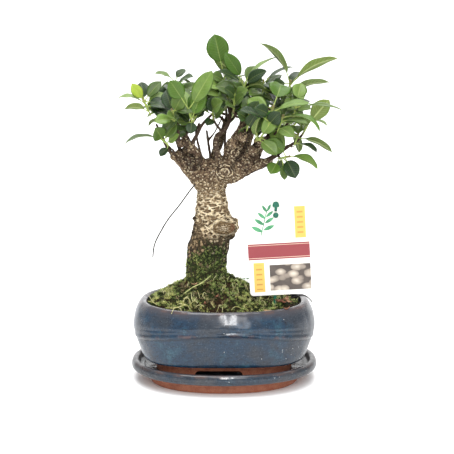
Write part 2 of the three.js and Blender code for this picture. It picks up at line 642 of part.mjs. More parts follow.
// Turns the last ring's numbering so that its corners face those of the ring before it.
function matchedEnds(rings) {
  const last = rings.at(-1);
  const before = rings.at(-2);
  const turned = last.map((_, shift) => last.map((_, i) => last[(i + shift) % last.length]));
  const misfit = (ring) => ring.reduce((sum, point, i) => sum + point.distanceToSquared(before[i]), 0);
  turned.sort((a, b) => misfit(a) - misfit(b));
  return [...rings.slice(0, -1), turned[0]];
}

function tree() {
  const random = randomSource(7);
  const bump = () => 1 + BARK_ROUGHNESS * 2 * (random() - 0.5);
  const limbs = Object.values(LIMBS).map((points) => wood(points, LIMB_SIDES, 2, bump));
  const twigs = BARE_TWIGS.map((points) => wood(points, TWIG_SIDES, 1));
  return joined([
    trunk(random), ...BURLS.map(burl), ...limbs, ...twigs,
    wood(AERIAL_ROOT, AERIAL_ROOT_SIDES, 1), ...allShoots.map(shootTwig),
  ]);
}

// ------------------------------------------------------------------ leafy shoots

function shootStem(shoot) {
  const along = shootDirection(shoot);
  const foot = vector(shoot.base).addScaledVector(along, GAP);
  const tip = vector(shoot.tip);
  const bud = tip.clone().addScaledVector(along, 4);
  return loft(ringsAlong([foot, tip, bud], [TWIG_TIP, SHOOT_TIP, 0.25], TWIG_SIDES));
}

// The way a leaf lies: its chord `ahead`, and `up`, the way its upper side looks.
function leafPose(leaf, tries) {
  const ahead = leaf.end.clone().sub(leaf.root);
  const length = ahead.length();
  ahead.normalize();
  const looks = new THREE.Vector3(0, -Math.sin(radians(leaf.face)), Math.cos(radians(leaf.face)));
  const across = looks.clone().cross(ahead).normalize();
  const axis = across.clone().applyAxisAngle(ahead, radians(GOLDEN_ANGLE * tries));
  ahead.applyAxisAngle(axis, radians(TURN_STEP * Math.sqrt(tries)));
  const up = ahead.clone().cross(looks.clone().cross(ahead)).normalize();
  return { ahead, up, length };
}

// Half the blade's width at a share of its length, over the greatest half-width.
function bladeOutline(share) {
  return Math.sin(Math.PI * share ** 0.9) ** 0.75;
}

// A leaf from its root to its end: its stalk and an arched blade folded along the midrib.
// `margin` makes it that much larger all round, and leaves its root free.
function leafSolid(leaf, pose, margin = 0) {
  const { ahead, up, length } = pose;
  const arch = radians(leaf.arch);
  const radius = length / (2 * Math.sin(arch / 2));
  const side = up.clone().cross(ahead);
  const fold = radians(LEAF.fold);
  const ring = (share, halfWidth, thickness) => {
    const turn = arch * (share - 0.5);
    const middle = leaf.root.clone()
      .addScaledVector(ahead, radius * (Math.sin(arch / 2) + Math.sin(turn)))
      .addScaledVector(up, radius * (Math.cos(turn) - Math.cos(arch / 2)));
    const normal = ahead.clone().multiplyScalar(Math.sin(turn))
      .addScaledVector(up, Math.cos(turn));
    const rim = (way) => middle.clone()
      .addScaledVector(side, way * (halfWidth + margin) * Math.cos(fold))
      .addScaledVector(normal, (halfWidth + margin) * Math.sin(fold));
    const rib = (way) => middle.clone().addScaledVector(normal, way * (thickness / 2 + margin));
    return [rib(1), rim(-1), rib(-1), rim(1)];
  };
  const rings = leaf.stations.map((share) => (
    ring(leaf.stalk + (1 - leaf.stalk) * share, leaf.width / 2 * bladeOutline(share), LEAF.thickness)));
  const first = margin > 0 ? Math.min(leaf.stalk * 0.8, FREE_ROOT / length) : 0;
  return loft([
    ring(first, LEAF.stalkRadius, 2 * LEAF.stalkRadius), ring(leaf.stalk, LEAF.stalkRadius, LEAF.thickness),
    ...rings, ring(1 + margin / length, LEAF.tip, LEAF.thickness),
  ], [1, 3]);
}

// The leaves of a shoot that has them listed.
function listedLeaves(shoot) {
  return shoot.leaves.map(([share, x, y, z, face, arch, width, stalk = LEAF.stalk]) => {
    const root = vector(shoot.base).lerp(vector(shoot.tip), share);
    const end = root.clone().add(new THREE.Vector3(x, y, z));
    return { root, end, face, arch, width, stalk, stations: FRONT_STATIONS };
  });
}

// Leaves set in a spiral round a shoot, the highest first.
function spiralLeaves(shoot, random) {
  const along = shootDirection(shoot);
  const aside = along.clone().cross(new THREE.Vector3(1, 0, 0)).normalize();
  const turn = 360 * random();
  return Array.from({ length: BACK_LEAVES }, (_, i) => {
    const root = vector(shoot.base).lerp(vector(shoot.tip), 1 - 0.24 * i);
    const out = aside.clone().applyAxisAngle(along, radians(turn + GOLDEN_ANGLE * i));
    const rise = radians(34 - 15 * i);
    const length = 27 + 10 * random();
    const end = root.clone()
      .addScaledVector(out, length * Math.cos(rise))
      .addScaledVector(along, length * Math.sin(rise));
    return {
      root, end, face: 0, arch: 30 + 30 * random(), width: length * (0.38 + 0.08 * random()),
      stalk: LEAF.stalk, stations: BACK_STATIONS,
    };
  });
}

function obstacle(solid) {
  const box = solid.boundingBox();
  return { solid, box: new THREE.Box3(vector(box.min), vector(box.max)) };
}

function meets(one, others) {
  return others.some((other) => (
    one.box.intersectsBox(other.box) && !one.solid.intersect(other.solid).isEmpty()));
}

// The leaf in the first of its positions that keeps clear of the others, or null.
function clearLeaf(leaf, others) {
  for (let tries = 0; tries < MOST_TRIES; tries++) {
    const pose = leafPose(leaf, tries);
    if (!meets(obstacle(leafSolid(leaf, pose, CLEARANCE)), others)) return leafSolid(leaf, pose);
  }
  return null;
}

// Every shoot as a solid, with a leaf left out where nothing gives it room.
function leafyShoots(others) {
  const random = randomSource(21);
  const stems = allShoots.map(shootStem);
  const inTheWay = [...others, ...stems].map(obstacle);
  return allShoots.map((shoot, i) => {
    const leaves = shoot.leaves ? listedLeaves(shoot) : spiralLeaves(shoot, random);
    const placed = leaves.map((leaf) => {
      const solid = clearLeaf(leaf, inTheWay.filter((other) => other.solid !== stems[i]));
      if (solid) inTheWay.push(obstacle(solid));
      return solid;
    });
    return joined([stems[i], ...placed.filter((solid) => solid !== null)]);
  });
}

// ------------------------------------------------------------------ the whole plant

const allShoots = [
  ...SHOOTS,
  ...BACK_SHOOTS.map((shoot, i) => ({ name: `shoot_back_${i + 1}`, ...shoot })),
];

function piece(name, solid, colour, roughness) {
  const material = new THREE.MeshStandardMaterial({ color: colour, roughness, metalness: 0 });
  const mesh = new THREE.Mesh(toGeometry(solid), material);
  mesh.name = name;
  return mesh;
}

const GLAZE = "#46627c";
const LEAF_GREENS = ["#3f7a2e", "#4b8a36", "#56923c", "#386f2c"];

const bonsai = new THREE.Group();
bonsai.name = "bonsai";
bonsai.add(piece("saucer", saucer(), GLAZE, 0.25));
bonsai.add(piece("pot", pot(), GLAZE, 0.25));
DRAIN_HOLES.forEach((x, i) => {
  bonsai.add(piece(`drain_mesh_${i + 1}`, meshPlate(x), "#26282a", 0.6));
});
bonsai.add(piece("soil", soil(), "#3a2c20", 1));
bonsai.add(piece("moss_mat", mossMat(), "#5f7a2b", 1));
bonsai.add(piece("plant_label", plantLabel(), "#f2f0ea", 0.4));
bonsai.add(piece("label_pick", labelPick(), "#1d5a45", 0.4));

const treeSolid = tree();
bonsai.add(piece("tree", treeSolid, "#8a7860", 0.9));
leafyShoots([treeSolid]).forEach((solid, i) => {
  bonsai.add(piece(allShoots[i].name, solid, LEAF_GREENS[i % LEAF_GREENS.length], 0.35));
});

export default bonsai;
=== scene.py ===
"""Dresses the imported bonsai: glazed ware, bark, leaves, moss, litter, label and stage."""

import math
import random

import bmesh
import bpy
from bpy.props import FloatProperty, FloatVectorProperty, IntProperty, PointerProperty
from mathutils import Matrix, Quaternion, Vector, noise
from mathutils.bvhtree import BVHTree
from mathutils.geometry import interpolate_bezier


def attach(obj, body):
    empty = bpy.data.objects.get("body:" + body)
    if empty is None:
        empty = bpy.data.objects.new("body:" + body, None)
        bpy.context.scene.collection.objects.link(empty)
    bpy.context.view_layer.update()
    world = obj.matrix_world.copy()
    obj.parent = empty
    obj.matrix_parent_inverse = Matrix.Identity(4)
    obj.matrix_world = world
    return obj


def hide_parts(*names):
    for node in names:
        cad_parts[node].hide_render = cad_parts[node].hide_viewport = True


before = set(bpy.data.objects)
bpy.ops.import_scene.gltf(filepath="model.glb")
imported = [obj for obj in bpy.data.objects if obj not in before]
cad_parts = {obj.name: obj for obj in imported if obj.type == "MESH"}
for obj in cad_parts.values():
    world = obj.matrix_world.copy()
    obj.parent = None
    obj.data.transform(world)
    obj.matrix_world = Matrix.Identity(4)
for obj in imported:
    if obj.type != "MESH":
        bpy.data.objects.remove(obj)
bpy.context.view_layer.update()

bl_info = {
    "name": "Potted Bonsai",
    "version": (1, 0, 0),
    "blender": (4, 5, 0),
    "location": "View3D > Sidebar > Bonsai",
    "description": "Builds a small fig bonsai in its glazed pot, with moss, saucer and label",
    "category": "Add Mesh",
}

# ---------------------------------------------------------------- sizes in mm, angles in degrees

MM = 0.001
DEPTH_RATIO = 0.78  # front-to-back size of the ovals over their width
WARE_SEGMENTS = 168  # faces round the ware
SHARP_EDGE = 48  # edges of the ware that bend more stay sharp

SAUCER_SQUARENESS = 2.2
# [half-width, height], from the axis below, round the outside, to the axis; a stretch between
# two None marks is drawn as one smooth curve
SAUCER_PROFILE = [
    (0, 0), (79.5, 0), None, (81.6, 0.3), (82.6, 2.2), (83.4, 6), (84.4, 9.6), (86.6, 10.8), None,
    (95, 11.9), None, (99, 12.9), (101.7, 15.2), (102.3, 18.6), (101.1, 22.3), (98.3, 24),
    (95.3, 23.4), (93.8, 20.6), (92.6, 17.9), (90.6, 17.2), (88.4, 16.9), (86.8, 16.2), (84.6, 16),
    None, (0, 16),
]

POT_SQUARENESS = (3.2, 2.3)  # of the plan at the base and at the rim
POT_ROUNDING = (30, 62)  # heights between which the plan goes from one to the other
POT_PROFILE = [
    (0, 24), (74.6, 24), None, (75.4, 24.4), (75.8, 26), (76.1, 27.6), (77.4, 28.4), None,
    (83.8, 28.8), None, (86.3, 29.5), (88.6, 31.8), (90.8, 36), (93.3, 42), (95.2, 46.2),
    (96.1, 48.6), (96.3, 49.6), (96.8, 50.4), (97.9, 51.6), (98.4, 53), (98.5, 54.6), (98.8, 56.8),
    (99.6, 60), (99.9, 64), (99.3, 69), (97.6, 77), (94.6, 84), (91.6, 88.3), (88.7, 90),
    (86, 89.3), (84.4, 87), (86.2, 81), (91, 72), (92, 58), (83, 37), (79, 32.4), (76, 31), None,
    (0, 31),
]
GROOVE = {"height": 50, "lowest": 31, "highest": 88, "rise": 14}  # it bows up at the long sides
WARE_WOBBLE = 0.45  # unevenness of the thrown walls
FOOT_PROFILE = [(66.2, 25), (66, 17), (67, 16), (73.4, 16), (74.5, 17), (74.7, 25)]
LONG_ARCH = {"from": -31, "to": 20, "top": 23.4}
SHORT_ARCH = {"from": -13, "to": 13, "top": 23}
ARCH_CORNER = 5
DRAIN_HOLES = (-38, 38)
DRAIN_RADIUS = 7.5

MOSS_HALF_WIDTH = 83.6
MOSS_THICKNESS = 4.5
MOSS_SINK = 1.2  # how far the ground lies below the top of the moss that grows on it
MOSS_EDGE = (78.5, 82)  # distances from the middle between which the moss thins out
MOUND = {"x": -14, "edge": 86, "height": 37, "reach": 74, "steepness": 1.2, "depth": 0.8}
SWELL = {"x": 64, "y": -26, "height": 8, "reach": 24}
# Patches of the moss: X, Y and reach
BROWN_PATCHES = [(-42, -21, 15), (-25, -31, 16), (-9, -43, 13), (-44, 8, 10), (28, -10, 9)]
SPROUT_PATCHES = [(-35, -46, 8), (-28, -52, 5), (-46, -50, 5)]
BRIGHT_PATCHES = [
    (-66, -20, 16), (22, -32, 9), (-30, -56, 13), (32, -40, 12), (48, -52, 12), (-52, -44, 10),
    (40, 30, 16), (-50, 40, 14), (72, 6, 12),
]
SHADED_PATCHES = [(44, -6, 11), (58, -4, 13), (73, -5, 12)]  # moss thinned to dark ground as painted shadow of the card, just behind its foot

LABEL = {"width": 66, "height": 101.5, "thickness": 0.9, "corner": 4,
         "x": 61.2, "y": -33, "bottom": 100.8, "lean": 3.2}
PICK = {"x": 54.8, "radius": 1.6, "point": 52, "tip": 5, "button": 187.2, "hook": 192.8}
SPRIG = [  # the card's leaves, from its lower left corner: X, Y and the way they point
    (17, 69, 152), (17.6, 71, 22), (18.6, 76.5, 145), (19.4, 78.5, 30), (20.4, 83, 138),
    (21, 85, 38), (22.3, 90, 122), (22.6, 91, 62),
]
GAP = 0.3  # between pieces that touch

AERIAL_ROOT = [  # X, Y, Z and radius
    (-25, -8, 222, 0.9), (-31, -13, 217, 0.85), (-37, -15, 210, 0.8), (-48, -17, 195, 0.8),
    (-60, -18, 180, 0.8), (-69, -18, 165, 0.8), (-75, -17, 152, 0.75), (-77, -16, 138, 0.65),
]
SPARE_TWIG = [  # one more bare twig on the inner left limb
    (-31, -17, 254, 2.3), (-33, -18, 262, 2), (-28, -17, 272, 1.7), (-24, -15, 280, 1.5),
    (-17, -12, 288, 1.3), (-9, -9, 295, 1.1),
]
WAIST = {"x": 0, "z": 203, "reach": 13, "depth": 1.5}  # where the trunk's right side is drawn in
# Old scars with rings round them: centre, reach, distance of the rings and their height
SCARS = [
    {"centre": (1, -21, 231), "reach": 15, "ring": 4.1, "relief": 0.7},
    {"centre": (11, -18, 251), "reach": 10, "ring": 3.6, "relief": 0.5},
    {"centre": (-36, -12, 238), "reach": 9, "ring": 3.4, "relief": 0.5},
]
# The big cut that looks to the front right: its bulge, and the oval of its lip in front view
CUT_BULGES = [  # centre and radii of the swellings it sits on
    ((-2, -12.5, 171.5), (17.2, 12.5, 10)), ((0, -7, 163.5), (12, 10, 9.5)),
    ((6, -8, 175), (9.5, 9, 7)),
]
CUT_LIP = {"x": 0, "z": 171.3, "half_width": 13.6, "half_height": 7.6}
DARK_BUMPS = [  # X, Y, Z and radius
    (-31.6, -4, 178.5, 2.8), (-31.8, -6, 172, 1.9), (-32.4, -4, 168, 2), (-33.4, -5, 163.5, 1.7),
]
CREVICES = [  # hollows between the limbs' fronts, carved in and darkened as painted shade: X and Z of the ends
    ((30, 268), (18, 250)), ((18, 250), (8, 235)), ((-47, 256), (-31, 234)),
    ((-23, 248), (-27, 238)), ((47, 238), (24, 224)),
]
KNOBS = [  # swellings of the limbs: X, Y, Z and radius
    (-53, -14, 247, 4.2), (-59, -10, 255, 3.2), (-46, -18, 262, 4.5), (-40, -20, 244, 5.5),
    (-27, -20, 244, 4), (8, -22, 262, 6), (20, -24, 269, 5.5), (30, -26, 255, 5.5),
    (36, -20, 264, 5), (24, -26, 240, 5), (40, -18, 243, 3.4), (-36, -18, 254, 3.6),
    (-4, -20, 240, 4), (-46, -10, 240, 4), (-30, -8, 224, 5),
]
SWOLLEN_LIMB = [  # under the low right limb
    (1, -8, 222.5, 6.5), (12, -10, 226, 6.3), (22, -12, 229.8, 6), (32, -14, 234, 5),
    (42, -16, 239, 4.2), (50, -18, 244.5, 3.2),
]

# Thicknesses, folds, and the breadth of small and large leaves over the CAD's
LEAF = {"stalk": 0.62, "rib": 0.42, "edge": 0.16, "fold": 14, "crease": 21, "breadth": (1.32, 1.13)}
LEAF_GLOW = {  # the little light that passes through a leaf
    "Subsurface_Weight": 0.1, "Subsurface_Radius": (0.2 * MM, 0.5 * MM, 0.1 * MM),
    "Subsurface_Scale": 1.0,
}
LEAF_POINT = (1.0, 1.35)  # least and greatest spread of the four corners at a solid leaf's tip
# Shares of the blade at which the rings of a solid leaf stand, by their number
BLADE_SHARES = {5: (0.0, 0.2, 0.5, 0.8, 1.0), 4: (0.0, 0.3, 0.72, 1.0)}
FRONT = Vector((0, 0.985, -0.17))  # the way one looks at the plant from the front
LEAST_FACE = 0.4  # how far a front leaf turns a side to the front, as the sine of its twist
STALK_SHARE = 0.22  # the stalk's share of a leaf's length
# What the inner leaves fill, and what they leave free under the crown
CROWN = {"x": 6, "y": 10, "z": 300, "width": 92, "depth": 70, "height": 32}
OPENING = {"x": -12, "half_width": 24, "top": 291}
LEAF_TRIES = 14  # places tried for an inner leaf before it is left out
BRIGHT_LEAVES = [  # where a leaf ends, and how much paler and yellower it is
    ((-97, -18, 325), 0.9), ((-10, -2, 376), 0.34), ((120, -8, 351), 0.35), ((112, -8, 307), 0.35),
    ((1, -14, 357), 0.4), ((-55, -57, 330), 0.3), ((-12, -50, 339), 0.1), ((60, -20, 324), 0.35),
    ((49, -44, 232), 0.35), ((62, -40, 255), 0.2), ((-26, -36, 317), 0.35), ((99, -50, 277), 0.5),
    ((-104, -24, 298), 0.3), ((89, -52, 306), 0.2), ((98, -40, 237), 0.15), ((-71, -44, 280), 0.15),
]

# Straws and stems: [X, Y, height above the moss] from foot to end
STRAWS = [
    [(-36, -49, -1), (-40, -53, 6), (-46, -57, 9), (-52, -61, 8.5), (-55, -64, 4)],
    [(-40, -48, -1), (-42, -50, 5), (-46, -51, 9), (-50, -52, 11)],
    [(-36, -47, -1), (-36, -49, 6), (-38, -50, 11), (-43, -51, 13)],
    [(-34, -48, -1), (-35, -50, 5), (-31, -52, 10), (-29, -53, 13)],
    [(-42, -46, -1), (-43, -48, 6), (-41, -50, 11), (-38, -51, 14)],
    [(-45, -50, -1), (-47, -51, 4), (-52, -53, 6), (-56, -54, 5)],
    [(-31, -50, -1), (-28, -53, 4), (-24, -55, 6), (-21, -56, 5)],
    [(-28, -46, -1), (-30, -48, 4), (-33, -50, 8), (-34, -51, 12)],
    [(-75, -22, -1), (-78, -23, 5), (-81, -24, 10)],
    [(-72, -30, -1), (-76, -31, 5), (-82, -31, 8)],
    [(-66, -8, -1), (-68, -8, 6), (-73, -9, 10)],
    [(-58, -28, -1), (-60, -30, 6), (-59, -31, 11)],
    [(8, -52, -1), (10, -54, 5), (14, -55, 8), (19, -56, 7)],
    [(-10, -52, -1), (-13, -54, 5), (-12, -55, 9)],
]
LOOSE_STRAWS = 70  # short ones, anywhere on the moss
PALE_STEM = [(-44, -30, 0), (-34, -30, 3), (-24, -29, 7), (-14, -28, 12)]
DARK_TWIG = [  # X, Y, Z; it lies over the rim
    (74, -8, 91), (81, -10, 94), (86.5, -10, 95), (91.5, -11, 92.6), (96.5, -12, 87.5),
]
WEEDS = [(26, -8), (30, -12), (34, -9), (22, -14), (38, -14)]
DEAD_LEAVES = [  # X, Y, length, turn and curl of a dead scrap of leaf
    (60, -34, 12, 20, 1.7), (67, -32, 11, 75, 1.9), (64, -38, 8, -30, 1.5), (70, -36, 8, 130, 1.1),
    (66, -52, 7, 10, 1.4), (46, -55, 9, -12, 0.5), (-8, -40, 7, 60, 0.9), (-32, -24, 7, 20, 1.0),
    (-20, -50, 6, 95, 1.2), (10, 38, 9, 40, 0.9), (-40, 44, 8, 120, 0.5), (30, 44, 7, -20, 1.1),
]

CAMERA = {"place": (3.2, -1230, 380), "pitch": 9.75, "lens": 90.8}


def colour(code):
    """Linear colour of a #rrggbb code."""
    parts = [int(code[i:i + 2], 16) / 255 for i in (1, 3, 5)]
    return tuple(c / 12.92 if c < 0.04045 else ((c + 0.055) / 1.055) ** 2.4 for c in parts)


def smoothstep(x, low, high):
    """0 below `low` and 1 above `high`, smooth between."""
    share = min(max((x - low) / (high - low), 0), 1)
    return share * share * (3 - 2 * share)


def lerp(a, b, share):
    return a + (b - a) * share


def roughly(point, size, seed=0):
    """Smooth noise from -1 to 1 at a point in mm, with lumps about `size` mm apart."""
    return noise.noise(Vector(point) / size + Vector((seed * 7.3, seed * 3.1, seed)))


# ---------------------------------------------------------------- settings

def colour_setting(name, description, code):
    return FloatVectorProperty(name=name, description=description, subtype="COLOR", size=3,
                               min=0, max=1, default=colour(code))


class WareSettings(bpy.types.PropertyGroup):
    glaze: colour_setting("Glaze", "Main blue of the pot's glaze", "#1a3247")
    glaze_light: colour_setting("Light Glaze", "Where the pot's glaze lies thick", "#2f5260")
    glaze_grey: colour_setting("Grey Glaze", "Where the pot's glaze lies thin", "#2d343d")
    saucer: colour_setting("Saucer", "Main colour of the saucer's glaze", "#243240")
    saucer_light: colour_setting("Light Saucer", "Where the saucer's glaze lies thick", "#3b4e5a")
    clay: colour_setting("Clay", "Unglazed feet and edges", "#9c6047")


class BarkSettings(bpy.types.PropertyGroup):
    grain: FloatProperty(name="Grain", description="Spacing of the bark's mesh",
                         default=0.9 * MM, min=0.5 * MM, unit="LENGTH")
    bark: colour_setting("Bark", "Main colour of the bark", "#6f5c46")
    pale: colour_setting("Pale Bark", "Cracks and lenticels", "#ecdfc2")
    twig: colour_setting("Twig", "Thin twigs", "#44372e")


class LeafSettings(bpy.types.PropertyGroup):
    along: IntProperty(name="Rows", description="Rows of faces along a blade", default=14, min=4)
    across: IntProperty(name="Columns", description="Columns of faces over a blade",
                        default=8, min=4)
    upper: colour_setting("Upper Side", "Upper side of the leaves", "#3e5224")
    under: colour_setting("Underside", "Underside of the leaves", "#5f7138")
    stalk: colour_setting("Stalk", "Stalks and midribs", "#9dab5c")
    extra: IntProperty(name="Inner Leaves", default=5, min=0,
                       description="Leaves tried inside the crown for each shoot")


class MossSettings(bpy.types.PropertyGroup):
    density: FloatProperty(name="Density", description="Tufts on a square metre of moss",
                           default=250000, min=0)
    smallest: FloatProperty(name="Smallest", description="Length of the shortest tufts",
                            default=2.2 * MM, min=0, unit="LENGTH")
    largest: FloatProperty(name="Largest", description="Length of the longest tufts",
                           default=4.6 * MM, min=0, unit="LENGTH")
    seed: IntProperty(name="Seed", description="Where the tufts fall", default=3)


class LabelSettings(bpy.types.PropertyGroup):
    card: colour_setting("Card", "Bare card", "#f1efe8")
    band: colour_setting("Band", "Plain band over the card", "#8b3339")
    strip: colour_setting("Strips", "Two strips at its edges", "#e0b455")
    pick: colour_setting("Pick", "Plastic of the pick", "#12604a")


class StageSettings(bpy.types.PropertyGroup):
    floor: colour_setting("Floor", "Floor and backdrop", "#f7f7f7")
    key: FloatProperty(name="Key Light", description="Power of the strip light in front",
                       default=23, min=0)
    top: FloatProperty(name="Top Light", description="Power of the soft light above",
                       default=34, min=0)


# ---------------------------------------------------------------- materials

class Value:
    """A number in a material; each operator used on it adds a Math node."""

    def __init__(self, finish, socket):
        self.finish = finish
        self.socket = socket

    def __add__(self, other):
        return self.finish.math("ADD", self, other)

    def __sub__(self, other):
        return self.finish.math("SUBTRACT", self, other)

    def __rsub__(self, other):
        return self.finish.math("SUBTRACT", other, self)

    def __mul__(self, other):
        return self.finish.math("MULTIPLY", self, other)

    def __truediv__(self, other):
        return self.finish.math("DIVIDE", self, other)

    def __pow__(self, other):
        return self.finish.math("POWER", self, other)

    def __abs__(self):
        return self.finish.math("ABSOLUTE", self)

    __radd__ = __add__
    __rmul__ = __mul__

    def sine(self):
        return self.finish.math("SINE", self)

    def least(self, other):
        return self.finish.math("MINIMUM", self, other)

    def most(self, other):
        return self.finish.math("MAXIMUM", self, other)

    def step(self, low, high):
        """0 below `low` and 1 above `high`, smooth between; turned round if `low` is higher."""
        if low > high:
            return 1 - self.step(high, low)
        return Value(self.finish, self.finish.node(
            "ShaderNodeMapRange", {"interpolation_type": "SMOOTHSTEP"},
            {"Value": self, "From Min": low, "From Max": high}).outputs["Result"])


class Finish:
    """A material with a Principled shader, and the nodes that vary it."""

    def __init__(self, name, **constants):
        self.material = bpy.data.materials.new(name)
        self.material.use_nodes = True
        self.tree = self.material.node_tree
        self.shader = self.tree.nodes["Principled BSDF"]
        for socket, value in constants.items():
            self.set(socket.replace("_", " "), value)

    def node(self, kind, settings=None, sockets=None):
        made = self.tree.nodes.new(kind)
        for name, value in (settings or {}).items():
            if name == "stops":
                while len(made.color_ramp.elements) < len(value):
                    made.color_ramp.elements.new(0.5)
                for element, (place, shade) in zip(made.color_ramp.elements, value):
                    element.position = place
                    element.color = (*colour(shade), 1)
            else:
                setattr(made, name, value)
        for name, value in (sockets or {}).items():
            self.feed(made.inputs[name], value)
        return made

    def feed(self, socket, value):
        """Links or sets a socket; a text is the code of a colour."""
        if isinstance(value, Value):
            value = value.socket
        elif isinstance(value, str):
            value = colour(value)
        if isinstance(value, bpy.types.NodeSocket):
            self.tree.links.new(value, socket)
        elif socket.type == "RGBA" and len(value) == 3:
            socket.default_value = (*value, 1)
        else:
            socket.default_value = value

    def set(self, socket, value):
        self.feed(self.shader.inputs[socket], value)

    def math(self, operation, *values):
        return Value(self, self.node("ShaderNodeMath", {"operation": operation},
                                     dict(enumerate(values))).outputs[0])

    def mix(self, share, first, second):
        return self.node("ShaderNodeMix", {"data_type": "RGBA"},
                         {0: share, 6: first, 7: second}).outputs[2]

    def layers(self, base, *coats):
        """A colour with coats of (share, shade) laid over it in turn."""
        for share, shade in coats:
            base = self.mix(share, base, shade)
        return base

    def ramp(self, value, stops):
        return self.node("ShaderNodeValToRGB", {"stops": stops}, {"Fac": value}).outputs["Color"]

    def object_place(self, scale=(1, 1, 1)):
        """Object coordinates in mm, stretched by a scale."""
        place = self.node("ShaderNodeTexCoord").outputs["Object"]
        return self.node("ShaderNodeVectorMath", {"operation": "MULTIPLY"},
                         {0: place, 1: tuple(s / MM for s in scale)}).outputs[0]

    def xyz(self, vector):
        parts = self.node("ShaderNodeSeparateXYZ", None, {0: vector})
        return [Value(self, output) for output in parts.outputs]

    def noise(self, place, size, detail=3, roughness=0.55):
        """Noise from 0 to 1 with lumps about `size` mm wide."""
        return Value(self, self.node("ShaderNodeTexNoise", None, {
            "Vector": place, "Scale": 1 / size, "Detail": detail, "Roughness": roughness,
        }).outputs[0])

    def cells(self, place, size, feature="F1"):
        """Distance from the middle, or the edge, of cells about `size` mm wide."""
        return Value(self, self.node("ShaderNodeTexVoronoi", {"feature": feature}, {
            "Vector": place, "Scale": 1 / size,
        }).outputs["Distance"])

    def attribute(self, name):
        made = self.node("ShaderNodeAttribute", {"attribute_name": name})
        return Value(self, made.outputs["Fac"])

    def bump(self, height, depth):
        """Sets the normal from a height of 0 to 1 that stands for `depth` mm."""
        self.set("Normal", self.node("ShaderNodeBump", None, {
            "Height": height, "Distance": depth * MM, "Strength": 1.0}).outputs["Normal"])

    def shifted(self, place, size, amount):
        """A place moved about by noise, to make a pattern on it uneven."""
        wander = self.node("ShaderNodeTexNoise", None, {"Vector": place, "Scale": 1 / size})
        push = self.node("ShaderNodeVectorMath", {"operation": "MULTIPLY_ADD"}, {
            0: wander.outputs["Color"], 1: (amount,) * 3, 2: (-amount / 2,) * 3})
        return self.node("ShaderNodeVectorMath", {"operation": "ADD"},
                         {0: place, 1: push.outputs[0]}).outputs[0]


def glaze_pits(finish, place):
    """Pale pits in a glaze, and a patch of crazing low at the right of the front."""
    x, y, z = finish.xyz(place)
    pits = finish.cells(place, 8).step(0.07, 0.04) * finish.noise(place, 40, 1).step(0.52, 0.6)
    crazed = finish.cells(finish.shifted(place, 4, 3), 3.4).step(0.16, 0.08)
    crazed = crazed * finish.noise(place, 6, 2).step(0.5, 0.58)
    return pits.most(crazed * x.step(45, 60) * z.step(56, 44) * (1 - y.step(-40, -20)))


def bare_clay(finish, place, shade, fine):
    """Blotched red clay with pale grains."""
    return finish.layers(
        shade,
        (finish.noise(place, 6, 4).step(0.35, 0.7), "#8a4c36"),
        (fine.step(0.5, 0.7) * 0.5, "#c9906f"),
        (finish.noise(place, 20, 3).step(0.55, 0.75) * 0.35, "#5a3528"),
    )


def glaze_finish(name, shades, clay_shade, border, rim, worn_edge, groove=None):
    """Glaze in three shades over red clay, which stays bare below `border` mm and thins out over
    the last `worn_edge` mm under the rim."""
    main, light, grey = shades
    finish = Finish(name, IOR=1.5)
    place = finish.object_place()
    x, y, z = finish.xyz(place)
    mottled = finish.noise(place, 34, 4, 0.6)
    drips = finish.noise(finish.object_place((1, 1, 0.22)), 7, 3, 0.6)
    speckle = finish.noise(place, 1.5, 2, 0.6)
    fine = finish.noise(place, 0.7, 2, 0.7)
    streaks = finish.noise(finish.object_place((0.5, 0.5, 1.6)), 3, 4, 0.7)
    thin = finish.noise(place, 12, 3)
    # share towards the two far ends; it roughens both glazes, and darkens the saucer's as painted
    # shade
    ends = abs(x).step(60, 100)
    pits = glaze_pits(finish, place)
    edge = (z + (thin * 0.6 - 0.3) * worn_edge).step(rim - worn_edge, rim - worn_edge * 0.1)
    line = abs(z - rim + 1.5).step(2.2, 0.2) * thin.step(0.42, 0.62)
    blue = finish.layers(
        grey,
        ((mottled - x.step(20, 85) * 0.12).step(0.36, 0.56), main),
        ((mottled * 0.6 + drips * 0.4).step(0.52, 0.68) * 0.7, light),
        (streaks.step(0.48, 0.66) * 0.6, "#141b26"),
        (speckle.step(0.56, 0.66) * 0.6, "#0d121a"),
        (speckle.step(0.4, 0.3) * 0.14, "#8797a3"),
        (pits * 0.85, "#dfe3e2"),
        (edge * 0.8, "#434044"),
        (line * 0.45, "#5e4238"),
    )
    uneven = finish.noise(place, 11, 0) * 0.7 + streaks * 0.03
    if groove is None:
        # painted shade: the saucer's glaze darkened towards its two far ends
        blue = finish.mix(ends * 0.6, blue, "#15171a")
    else:
        # squared sine of the way round, as it bows the groove
        deep = (y / DEPTH_RATIO) ** 2
        round_share = deep / (x ** 2 + deep + 0.01)
        off = z - groove["height"] - round_share * groove["rise"]
        rust = abs(off - 2.6 + thin * 3 - 1.5).step(3.4, 0.2)
        worn = finish.noise(place, 16, 3).step(0.48, 0.7)
        blue = finish.layers(
            blue,
            (rust * worn * 0.6, "#5c4038"),
            # painted shade: a dark line along the groove
            (abs(off + 0.4).step(1.6, 0.2) * 0.6, "#141c28"),
        )
        ridge = abs(off - 3.4).step(2.6, 0.2)
        uneven = uneven + ridge * (0.3 + x.step(-10, 2) * x.step(42, 30) * 0.9)
    glazed = (z - border + (thin - 0.5) * 1.6).step(-0.25, 0.25)
    clay = bare_clay(finish, place, clay_shade, fine)
    finish.set("Base Color", finish.mix(glazed, clay, blue))
    gloss = 0.66 - speckle.step(0.5, 0.8) * 0.12 - ends * 0.16
    finish.set("Roughness", 0.8 - glazed * gloss)
    finish.bump(glazed * uneven - pits * 0.3 + (1 - glazed) * fine * 0.22, 1.1)
    return finish.material


